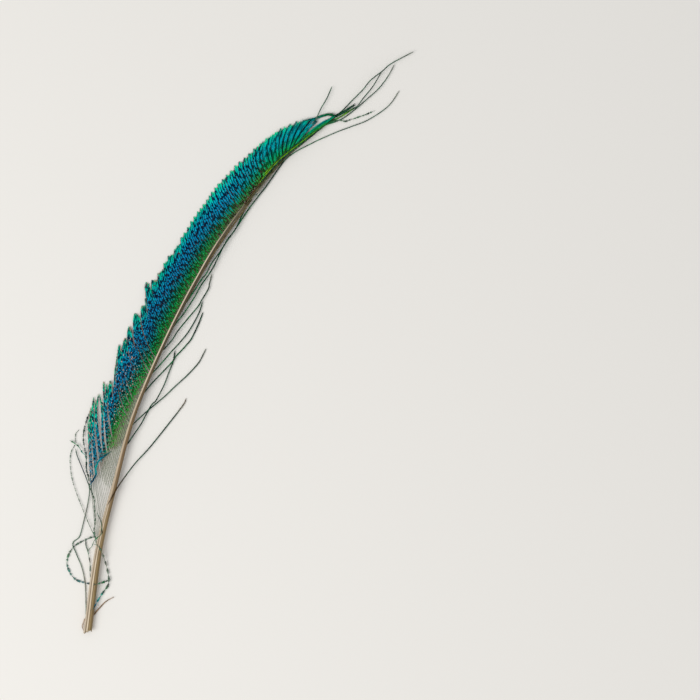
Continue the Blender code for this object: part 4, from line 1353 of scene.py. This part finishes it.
# %% The strands' routes
HERL_ROUTES = {
    "right_crossing": [
        (10.2, 63.2, 3.7), (13, 68.2, 4.2), (16.5, 74, 3.2), (23.4, 83.5, 1.6), (31.9, 93, 0.9),
        (46.5, 111.5, 0.6), (49, 116, 0.5),
    ],
    "right_long": [
        (21.5, 102, 3.0), (24.3, 104.9, 2.6), (30, 110.2, 1.8), (37.7, 116.7, 1.1),
        (43.3, 122, 0.9), (50, 128.2, 0.7), (54.9, 133.6, 0.6), (57.4, 137.8, 0.5),
        (58.9, 140.9, 0.5),
    ],
    "right_short": [
        (18.7, 91.5, 3.0), (22.4, 97.2, 2.4), (26.5, 103.3, 1.6), (31.2, 112, 1.0),
        (34.2, 115.5, 1.9), (37.9, 122.5, 1.3), (40.4, 129, 0.8), (42.5, 134.5, 0.6),
        (43.5, 139.8, 0.5),
    ],
    "right_second": [
        (26.2, 116.5, 3.2), (31.7, 123.3, 2.4), (36.7, 128.7, 1.8), (41.7, 134, 1.3),
        (44.2, 137.4, 1.1), (48.3, 141.9, 0.9), (51.6, 146, 0.7), (54.9, 152.7, 0.6),
        (57.4, 158.9, 0.5),
    ],
    "right_third": [
        (30.7, 127, 3.4), (36.7, 133.6, 2.6), (41.3, 139, 2.0), (45.8, 144, 1.5),
        (49.5, 148.5, 1.2), (52.9, 153.9, 1.0), (55.8, 159.7, 0.8), (57.2, 164.3, 0.7),
    ],
    "right_fourth": [
        (36, 138.5, 3.4), (41.7, 144.8, 2.7), (45, 149.8, 2.2), (49.5, 155.5, 1.8),
        (54.5, 161.5, 1.4), (57, 165.5, 1.2), (59.9, 170.5, 1.0), (60.7, 173.1, 0.9),
        (61.9, 177.9, 0.8),
    ],
    "twisted_outer": [
        (38.3, 144, 3.5), (43.2, 152.3, 2.9), (48, 158.6, 2.4), (52.9, 166, 2.2),
        (56.7, 172.7, 2.0), (62.3, 181, 1.9), (67.7, 191.8, 1.8), (72, 198.3, 1.6),
        (76.4, 204.8, 1.4), (80.7, 211.3, 1.3), (85.6, 217.8, 1.1), (89.4, 222.7, 1.0),
        (97, 233.5, 0.8), (101, 238, 0.8),
    ],
    "twisted_inner": [
        (46, 159.5, 3.5), (49, 163.7, 3.2), (52.9, 169.4, 2.9), (56.7, 175.2, 2.6),
        (59.2, 178.5, 2.5), (62.3, 184.1, 2.9), (66.6, 190.1, 2.8), (69.9, 195.6, 2.4),
        (74.2, 201.5, 2.2), (79.6, 213.2, 2.0), (81.3, 216.2, 1.9),
    ],
    "tip_low": [
        (96.8, 234.2, 1.0), (103.5, 239.3, 0.8), (110.8, 243.2, 0.7), (116.1, 245.8, 0.7),
        (124.7, 249.5, 0.8), (131.4, 252, 0.9), (139, 254.9, 1.0), (146.7, 259.6, 1.0),
        (151.5, 263.9, 0.8), (155.5, 269.9, 0.6),
    ],
    "tip_longest": [
        (121, 255.2, 0.5), (126.6, 259.6, 0.8), (131.9, 264.9, 1.2), (137.2, 270.2, 1.6),
        (141.2, 275, 1.9), (146.7, 279.3, 2.1), (151.8, 283.5, 2.0), (162.5, 289.3, 1.6),
    ],
    "tip_fork": [
        (124, 257, 0.6), (131.4, 260.5, 0.9), (134.3, 262, 1.1), (137.7, 266.3, 1.4),
        (142.4, 272.1, 1.8), (146.9, 279.5, 2.1),
    ],
    "tip_arc": [
        (119, 252.9, 0.6), (126.6, 255.8, 0.7), (133.3, 260.5, 0.9), (139, 265.4, 1.0),
        (145.3, 271.1, 1.1), (150, 277.3, 1.0), (153, 282.8, 0.8),
    ],
    "tip_beaded": [
        (119.5, 253.2, 0.8), (122.5, 254.6, 0.8), (126, 255.2, 0.8), (128.6, 254.8, 0.7),
        (131.4, 255.6, 0.7), (135.7, 257, 0.7), (139, 258.2, 0.6), (143.4, 260.1, 0.6),
    ],
    "tip_upright": [
        (104, 241.2, 1.0), (105.5, 246.2, 1.7), (110.4, 251, 1.9), (113.7, 255.3, 1.8),
        (116.5, 261, 1.7), (119.5, 266.3, 1.6), (121.9, 271.8, 1.4),
    ],
    "tip_dark": [(114, 249, 0.7), (121, 255.5, 1.0), (127.5, 259.3, 1.2), (132.9, 262.7, 1.2)],
    "tip_light": [(116, 250.5, 0.6), (119.5, 253.5, 0.9), (126.6, 257.2, 1.0), (133.3, 261.5, 1.0)],
    "tip_curl": [
        (104.5, 241.6, 0.9), (105.2, 248, 1.3), (106.5, 252.8, 1.2), (109, 254.6, 1.0),
        (112.5, 255.8, 0.8), (117.6, 257.5, 0.8), (120.6, 257.8, 0.8), (124, 257.3, 0.7),
    ],
    "low_bundle": [
        (4.6, 43, 2.6), (3.4, 50, 2.6), (3.9, 55.1, 2.7), (3.6, 62.3, 2.7), (3.4, 66.3, 2.6),
        (1.3, 72, 2.4), (0.5, 77.3, 2.1), (-0.6, 81.1, 1.9), (-0.6, 87.3, 1.6), (-1.4, 91, 1.4),
        (-2.2, 96.8, 1.1), (-1.4, 102.5, 0.8), (0.5, 108.7, 0.6),
    ],
    "low_bundle_tip": [
        (-0.2, 79.5, 1.9), (-0.9, 87.3, 1.8), (-2.5, 89.2, 1.5), (-4.8, 92.6, 1.1),
        (-7.1, 94.2, 0.8), (-9, 95.3, 0.6),
    ],
    "low_bow": [
        (4.8, 43, 1.9), (3.4, 47.6, 1.5), (1.8, 50.9, 1.2), (-0.8, 56.7, 0.9), (-2.8, 61.7, 0.8),
        (-5.7, 69.1, 0.7), (-7.8, 75.8, 0.6), (-8.5, 79.9, 0.6), (-8.9, 85.7, 0.6),
        (-8.2, 89.9, 0.6), (-6.4, 93.5, 0.6), (-6.2, 98.2, 0.5), (-4.5, 100.6, 0.5),
    ],
    "low_kinked": [
        (-0.9, 4.5, 0.8), (-0.9, 9.4, 0.6), (-1, 15.2, 0.5), (-1.2, 21.9, 0.5), (-2, 27.7, 0.5),
        (-3.3, 32.7, 0.5), (-5.7, 38.5, 0.5), (-7.4, 43.8, 0.5), (-4.1, 47.6, 0.6),
        (-1.6, 56.7, 0.7), (0.1, 64.2, 0.8), (0.9, 70.8, 1.2), (-0.3, 75.5, 1.5), (-2.5, 81, 1.2),
        (-5.2, 87.5, 0.8), (-6, 91, 1.0),
    ],
    "low_loop": [
        (5.6, 44.6, 2.0), (3.4, 47.2, 2.3), (-1.6, 45.5, 1.2), (-6.6, 42.6, 0.9), (-9.1, 39.3, 0.6),
        (-10.3, 36, 0.5), (-10.3, 32.7, 0.45), (-8.6, 28.5, 0.45), (-5.7, 25.6, 0.45),
        (-1.6, 24.2, 0.45), (0.6, 23.8, 0.45), (2.2, 23.7, 1.6), (3.2, 23.7, 3.3), (5.2, 23.9, 3.3),
        (7.2, 24.3, 1.2), (10.5, 25.4, 0.45),
    ],
    "low_hoop": [
        (3.6, 43.6, 3.2), (5.1, 43.2, 4.1), (7.2, 40.1, 3.6), (8.4, 36, 1.6), (9.7, 31, 0.8),
        (10.5, 26, 1.0), (9.9, 22.7, 0.8), (7.6, 19.4, 0.8), (5.5, 16.1, 1.2), (3.4, 12.3, 2.5),
        (1.6, 10.6, 3.2),
    ],
    "low_hook": [
        (5, 59.2, 3.1), (6.9, 55, 3.7), (7.4, 50.9, 4.0), (7, 48.6, 3.9), (3.8, 45.9, 2.8),
        (2.2, 42.6, 1.6), (0.1, 40.1, 0.9), (0.5, 37.6, 0.7), (1.1, 33.5, 0.6), (1.1, 29.3, 0.6),
        (1.4, 26, 0.8),
    ],
    "low_stub": [(0.4, 38.6, 0.8), (0.0, 40.1, 0.8), (-0.8, 42.6, 0.6), (-1.2, 45.9, 0.5)],
    "fallen_teal": [
        (12, 89.9, 3.8), (9.7, 88.4, 3.8), (6.7, 86.1, 3.8), (4.8, 82.7, 3.7), (4.4, 79.2, 3.4),
        (3.2, 76.2, 3.2), (2, 74.6, 3.0),
    ],
    "flake": [(-1.5, 6.2, 1.2), (-2.3, 4.0, 1.0), (-2.7, 2.4, 0.8), (-2.1, 0.4, 0.8)],
    "splinter": [
        (1.4, 6.6, 1.0), (2.9, 8.2, 0.8), (5.9, 11.7, 0.5), (9, 14.8, 0.5), (13, 17.1, 0.6),
    ],
}
print("strands placed by hand:", len(HERL_ROUTES))

# %% [markdown]
# ## Barbs that run beside the shaft
#
# Along the shaft's upper part a few fine barbs lie so close to it that they look like coloured
# lines on its edge: tan ones at its right side, and rust, lime, navy and olive ones at its end.
# They are strands too, but their routes are easier to say beside the shaft's own line, as distance
# along it, distance to its right, and height over its underside.

# %% Routes beside the shaft
SIDE_ROUTES = {
    "base_inner": [
        (166, 0.5, 0.5), (176, 0.7, 0.5), (186, 0.75, 0.5), (203, 0.65, 0.5), (218, 0.6, 0.5),
        (234, 0.3, 0.5),
    ],
    "base_outer": [
        (186, 0.85, 0.4), (203, 0.95, 0.4), (218, 0.95, 0.4), (228, 0.85, 0.4), (234, 0.6, 0.4),
    ],
    "band_rust": [
        (230, -1.0, 1.3), (236, -1.2, 1.5), (245, -0.85, 1.7), (253, -0.95, 1.8), (263, 0.1, 1.3),
    ],
    "band_lime": [
        (243, -1.4, 1.7), (247, -1.4, 1.9), (257, -1.15, 2.4), (265, -0.6, 3.3), (273, -0.4, 3.7),
        (281, -0.2, 3.4), (288, 0.0, 2.2),
    ],
    "band_dark": [
        (243, -0.9, 1.7), (250, -0.75, 1.9), (257, -0.6, 2.3), (265, -0.1, 3.0), (276, 0.2, 3.1),
        (286, 0.3, 2.2),
    ],
    "band_split": [(256, -1.75, 2.5), (262, -1.5, 3.4), (270, -1.1, 3.9), (280, -0.6, 3.6)],
    "band_fresh": [
        (248, -2.1, 1.9), (257, -1.9, 2.3), (264, -1.5, 2.7), (271, -1.2, 2.6), (276, -1.0, 2.2),
    ],
    "band_orange": [(250, -1.75, 1.9), (256, -1.6, 1.9), (263, -1.0, 1.8)],
    "band_olive_left": [
        (229, -0.5, 1.3), (236, -0.5, 1.5), (244, -0.1, 1.6), (250, 0.1, 1.5), (256, 0.1, 1.4),
    ],
    "band_olive_right": [
        (231, 0.1, 1.1), (238, 0.2, 1.1), (246, 0.4, 1.0), (252, 0.4, 0.9), (259, 0.3, 0.8),
    ],
    "band_pale": [(238, 0.8, 0.8), (246, 0.8, 0.8), (252, 0.75, 0.7), (259, 0.45, 0.6)],
    "band_green": [
        (236, 1.0, 0.6), (247, 0.8, 0.6), (254, 0.65, 0.6), (262, 0.3, 0.5), (281, 0.3, 0.4),
    ],
}


def side_route(rows):
    """Page points beside the shaft's line, at these distances and heights."""
    s, offset, height = np.array(rows, float).T
    centre, heading = shaft_point(s), shaft_heading(s)
    x = centre[:, 0] + offset * np.sin(heading)
    y = centre[:, 1] - offset * np.cos(heading)
    return np.stack([x, y, shaft_underside(s) + height], axis=-1)


ROUTES = HERL_ROUTES | {name: side_route(rows) for name, rows in SIDE_ROUTES.items()}
print("strands in all:", len(ROUTES))

# %% [markdown]
# ## How each strand looks
#
# A strand's look is the names of its colours from root to tip, the reach of its barbules,
# millimetres per turn where it is twisted (0 where it isn't), and its bare share. Each colour name
# stands for a pair: the bright one of its dashes, which is painted sheen, and the dark one between
# them.

# %% How each strand looks
# (bright, dark): the bright colour is painted sheen, put in dashes over the dark one.
STRAND_COLOURS = {
    "pale": ((188, 168, 150), (154, 132, 114)), "tan": ((150, 120, 88), (112, 88, 60)),
    "sand": ((122, 106, 74), (94, 82, 54)),
    "umber": ((96, 72, 44), (54, 38, 22)), "grey": ((160, 166, 150), (112, 120, 106)),
    "olive": ((128, 124, 84), (66, 64, 38)), "rust": ((120, 66, 38), (64, 32, 22)),
    "navy": ((34, 70, 100), (12, 24, 42)), "dark": ((46, 108, 76), (12, 44, 32)),
    "moss": ((108, 150, 122), (54, 94, 74)), "green": ((16, 150, 84), (4, 70, 40)),
    "lime": ((140, 212, 34), (82, 136, 18)), "teal": ((0, 172, 152), (0, 86, 90)),
    "azure": ((0, 150, 190), (0, 84, 104)), "bright": ((0, 234, 216), (0, 140, 156)),
}
LOOKS = {
    "right_crossing": ("umber umber dark dark dark dark pale", 0.34, 0, 0.04),
    "right_long": ("dark dark moss dark grey", 0.34, 0, 0.04),
    "right_short": ("dark dark dark moss dark", 0.34, 0, 0.04),
    "right_second": ("dark dark green dark dark", 0.38, 0, 0.04),
    "right_third": ("dark green dark dark moss", 0.36, 0, 0.04),
    "right_fourth": ("dark dark green dark grey", 0.36, 0, 0.04),
    "twisted_outer": ("dark green dark green dark dark", 0.36, 0, 0.03),
    "twisted_inner": ("dark green dark dark green", 0.36, 0, 0.03),
    "tip_low": ("moss green moss dark moss grey", 0.26, 0, 0.02),
    "tip_longest": ("dark dark moss dark moss grey", 0.30, 0, 0.02),
    "tip_fork": ("green moss dark dark grey", 0.28, 0, 0.02),
    "tip_arc": ("green dark dark moss grey", 0.28, 0, 0.02),
    "tip_beaded": ("green green green green dark", 0.50, 4.6, 0.02),
    "tip_upright": ("dark dark moss moss moss", 0.30, 0, 0.02),
    "tip_dark": ("green dark dark dark", 0.60, 0, 0.02),
    "tip_light": ("lime green lime green", 0.40, 0, 0.02),
    "tip_curl": ("green teal teal teal green green", 0.70, 0, 0.02),
    "low_bundle": ("moss moss moss dark navy dark navy", 0.62, 2.8, 0.05),
    "low_bundle_tip": ("navy dark teal green green", 0.56, 7.0, 0.02),
    "low_bow": ("grey grey moss moss moss grey", 0.30, 3.2, 0.10),
    "low_kinked": ("moss grey grey moss moss grey moss navy dark", 0.26, 0, 0.03),
    "low_loop": ("dark dark dark green teal teal azure green green", 0.66, 5.0, 0.03),
    "low_hoop": ("dark moss grey grey moss dark green bright azure dark", 0.62, 8.0, 0.03),
    "low_hook": ("dark dark dark green moss dark dark moss", 0.32, 9.0, 0.03),
    "low_stub": ("moss dark grey", 0.28, 0, 0.05),
    "fallen_teal": ("dark azure bright azure navy", 0.56, 0, 0.02),
    "flake": ("pale pale", 0.26, 0, 0.0),
    "splinter": ("tan tan tan pale", 0.0, 0, 1.0),
    "base_inner": ("umber sand sand sand", 0.0, 0, 1.0),
    "base_outer": ("sand sand sand", 0.0, 0, 1.0),
    "band_rust": ("rust rust rust dark", 0.18, 0, 0.0),
    "band_lime": ("lime lime lime green", 0.22, 0, 0.0),
    "band_dark": ("dark navy navy dark", 0.12, 0, 0.0),
    "band_split": ("dark dark navy dark", 0.0, 0, 1.0),
    "band_fresh": ("lime green green green", 0.28, 0, 0.0),
    "band_orange": ("rust rust", 0.20, 0, 0.0),
    "band_olive_left": ("olive olive olive", 0.36, 0, 0.0),
    "band_olive_right": ("olive grey olive", 0.36, 0, 0.0),
    "band_pale": ("pale pale", 0.0, 0, 1.0),
    "band_green": ("moss moss dark dark", 0.20, 0, 0.0),
}
HERL_RIB = 0.18  # the radius of a strand's rib at its root, where it isn't one of these
THICK_RIBS = {"splinter": 0.42, "flake": 0.36, "base_inner": 0.55, "base_outer": 0.32}
BEAD_RIBS = {"low_bundle", "low_bow", "low_loop", "low_hoop", "tip_beaded"}  # their bare rib shows
BEAD_RIB = 0.13
BEAD_RIB_COLOURS = "moss grey moss"
FLAT_RIBS = {"base_inner", "base_outer"}
FLATNESS = 0.35
print("strand colours:", ", ".join(STRAND_COLOURS))

# %% [markdown]
# ## The strands' material
#
# All strands share one material. Their colours are written on their points instead, the bright
# and the dark one, and the material only puts the first in dashes over the second: the bright
# dashes are painted sheen. That keeps forty strands to one set of nodes, and a new strand needs no
# new material.

# %% The strands' material
STRAND_DASH = 2.2


def strand_material():
    """The strand's bright colour, painted sheen, in dashes over its dark one; both are marks on its points.
    """
    material, tree, shader = new_material("strand_sheen", 0.5, 0.2, 0.15)
    along, strand, _ = parts_of(tree, "place")
    bright = add(tree, "ShaderNodeAttribute", attribute_name="bright").outputs["Color"]
    dark = add(tree, "ShaderNodeAttribute", attribute_name="dark").outputs["Color"]
    mask = dashes(tree, along, strand, STRAND_DASH, 0.40, 0.58)
    tree.links.new(mix(tree, mask, dark, bright), shader.inputs["Base Color"])
    return material


STRAND_SHEEN = strand_material()
print("material:", STRAND_SHEEN.name)

# %% [markdown]
# ## Ribs and fuzz along the strands
#
# A strand is a thin tapering tube for its rib, and rows of blades on both sides for its barbules.
# On a flat strand the rows spread out to the sides. On a twisted one they turn about it with the
# distance, and get shorter where they are seen edge-on, so that it swells and thins like a string
# of beads. Each helper gives points, faces and marks, ready to be joined with those of others.

# %% Ribs and fuzz
HERL_STEP = 0.12  # along a strand, between two blades of a row
HERL_WIDTH = 0.14
RIB_STEP = 0.6  # between two rings of a rib
HERL_SIDES = 6
FLAT_SPREAD = 13  # degrees between a blade and a flat strand
TWISTED_SPREAD = 30


def strand_frame(route, number, names):
    """A strand's curve at even steps, its distances and length, its number, and its colours."""
    curve = smooth_curve(route)
    along = distances(curve)
    pairs = [STRAND_COLOURS[name] for name in names.split()]
    colours = [paint(*bright)[:3] + paint(*dark)[:3] for bright, dark in pairs]
    return curve, along, along[-1], number, np.array(colours)


def strand_marks(strand, s):
    """For points at these distances: distance, strand's row, bright and dark colour, as columns."""
    _, _, length, number, colours = strand
    shares = np.linspace(0, 1, len(colours))
    mixed = [np.interp(s / length, shares, column) for column in colours.T]
    return np.stack([s, 0 * s + ROWS_APART * number, *mixed], axis=-1)


def rib_arrays(strand, radius, flatness):
    """A tube along the strand that tapers to 0.4 of its radius, which flatness squashes."""
    curve, along, length = strand[:3]
    s = np.linspace(0, length, int(length / RIB_STEP) + 2)
    centre = at_distance(curve, along, s)[None]
    thickness = (radius * (1 - 0.6 * s / length))[None]
    points = with_ends(round_sections(centre, thickness, HERL_SIDES, flatness))
    marks = with_ends(np.repeat(strand_marks(strand, s)[None, :, None], HERL_SIDES, axis=2))
    return points, tube_triangles(1, len(s), HERL_SIDES), marks


def fuzz_arrays(strand, reach, twist, bare):
    """Rows of blades on both sides of the strand, turned about it and shorter edge-on where twisted.

    The turn is 2 pi (s + 0.5 sin 1.7 s) / twist, so the twists aren't all alike, and a blade's
    reach is multiplied by 0.3 + 0.7 cos^2 of it.
    """
    curve, along, length = strand[:3]
    count = int(length * (1 - bare) / HERL_STEP)
    many = 2 * count
    s = np.tile(length * bare + (np.arange(count) + 0.5) * HERL_STEP, 2)
    side = np.repeat([-1.0, 1.0], count)
    root = at_distance(curve, along, s)
    ahead = unit(at_distance(curve, along, s + 0.2) - at_distance(curve, along, s - 0.2))
    taper = 0.4 + 0.6 * smoothstep(0, 3.0, length - s)
    if twist:
        turn = 2 * np.pi * (s + 0.5 * np.sin(1.7 * s)) / twist
        taper = taper * (0.3 + 0.7 * np.cos(turn) ** 2)
    else:
        turn = np.radians(chance.normal(15, 14, many))
    droop = side * turn + np.radians(chance.normal(0, 8, many))
    spread = np.radians(chance.normal(TWISTED_SPREAD if twist else FLAT_SPREAD, 2, many))
    size = reach * taper * chance.uniform(0.8, 1.15, many) / np.sin(spread)
    width = HERL_WIDTH * chance.uniform(0.8, 1.2, many)
    points = blades(root, ahead, side, size, spread, droop, width, 0 * s)
    marks = np.repeat(strand_marks(strand, s), len(BLADE_ACROSS), axis=0)
    return points.reshape(-1, 3), blade_faces(many), marks


example = strand_frame(HERL_ROUTES["low_stub"], 0, "moss dark grey")
print("triangles of the shortest low strand's rib:", len(rib_arrays(example, HERL_RIB, 1.0)[1]))

# %% [markdown]
# ## Every strand
#
# The last step is a loop over the routes. Forty separate objects would be hard to handle, so the
# strands are joined into two pieces: the ribs, and the barbules on them.

# %% Every strand
STRAND_LONGEST = 120.0  # millimetres along a strand that the UV map has room for


def strand_piece(name, arrays):
    """One mesh of many strands' points, faces and marks. Its UV is (distance, the strand's row)."""
    starts = np.cumsum([0] + [len(points) for points, _, _ in arrays[:-1]])
    points = np.vstack([points for points, _, _ in arrays])
    faces = np.vstack([faces + start for (_, faces, _), start in zip(arrays, starts)])
    marks = np.vstack([marks for _, _, marks in arrays])
    uv = marks[:, :2] / [STRAND_LONGEST, ROWS_APART * len(ROUTES)]
    place = np.stack([marks[:, 0], marks[:, 1], 0 * marks[:, 0]], axis=-1)
    named = {"place": place, "bright": marks[:, 2:5], "dark": marks[:, 5:8]}
    mesh_piece(name, points, faces, uv, named, STRAND_SHEEN, "loose_herls")


ribs, fuzz = [], []
for number, (name, route) in enumerate(ROUTES.items()):
    names, reach, twist, bare = LOOKS[name]
    strand = strand_frame(route, number, names)
    beaded = name in BEAD_RIBS
    rib = strand_frame(route, number, BEAD_RIB_COLOURS) if beaded else strand
    radius = THICK_RIBS.get(name, BEAD_RIB if beaded else HERL_RIB)
    ribs.append(rib_arrays(rib, radius, FLATNESS if name in FLAT_RIBS else 1.0))
    if reach:
        fuzz.append(fuzz_arrays(strand, reach, twist, bare))
strand_piece("herl_ribs", ribs)
strand_piece("herl_barbules", fuzz)

# %% [markdown]
# ## Floor, light and camera
#
# The floor is plain warm white. A large soft light stands to the photograph's left and a little
# below it, so the feather's own height throws soft shadows to its right, and a pale world fills
# them. The camera looks straight down, turned so that the feather leans as in the photograph.

# %% Floor, light and camera
FLOOR_SIZE = 6.0
PHOTO_MIDDLE = (131.0, 140.5)  # the page point at the middle of the photograph
PHOTO_FIELD = 0.350  # metres that the photograph's width covers
CAMERA_HEIGHT = 1.0
LAMP_PLACE = (-1150, -600, 1250)  # from the photograph's middle, in page millimetres
LAMP_SIZE = 1.4
LAMP_POWER = 20
WORLD_STRENGTH = 0.58


def make_floor():
    """A plain plane under the feather."""
    half = FLOOR_SIZE / 2
    corners = [(-half, -half, 0), (half, -half, 0), (half, half, 0), (-half, half, 0)]
    mesh = bpy.data.meshes.new("paper_floor")
    mesh.from_pydata(corners, [], [(0, 1, 2, 3)])
    material, _, shader = new_material("plain_paper", 0.9, 0.0, 0.1)
    shader.inputs["Base Color"].default_value = paint(239, 236, 231)
    mesh.materials.append(material)
    floor = bpy.data.objects.new("paper_floor", mesh)
    bpy.context.scene.collection.objects.link(floor)


def make_light():
    """A large area light from the page's left, and a pale world."""
    light = bpy.data.lights.new("window_side", "AREA")
    light.shape = "DISK"
    light.size = LAMP_SIZE
    light.energy = LAMP_POWER
    light.color = (1.0, 0.985, 0.96)
    lamp = bpy.data.objects.new("window_side", light)
    middle = np.array([*PHOTO_MIDDLE, 0])
    target = to_frame(middle)
    place = to_frame(middle + LAMP_PLACE)
    lamp.location = place.tolist()
    lamp.rotation_euler = Vector((target - place).tolist()).to_track_quat("-Z", "Y").to_euler()
    bpy.context.scene.collection.objects.link(lamp)
    world = bpy.data.worlds.new("pale_world")
    world.use_nodes = True
    background = world.node_tree.nodes["Background"]
    background.inputs["Color"].default_value = (0.97, 0.985, 1.0, 1.0)
    background.inputs["Strength"].default_value = WORLD_STRENGTH
    bpy.context.scene.world = world


def make_camera():
    """Straight down over the photograph's middle, turned by the feather's lean."""
    camera = bpy.data.objects.new("photo_camera", bpy.data.cameras.new("photo_camera"))
    x, y, _ = to_frame((*PHOTO_MIDDLE, 0)).tolist()
    camera.location = (x, y, CAMERA_HEIGHT)
    camera.rotation_euler = (0, 0, math.radians(LEAN_DEG))
    camera.data.lens = camera.data.sensor_width * CAMERA_HEIGHT / PHOTO_FIELD
    bpy.context.scene.collection.objects.link(camera)
    bpy.context.scene.camera = camera


make_floor()
make_light()
make_camera()
bpy.context.scene.view_settings.view_transform = "Standard"
print("camera at, m:", [round(value, 3) for value in bpy.context.scene.camera.location])
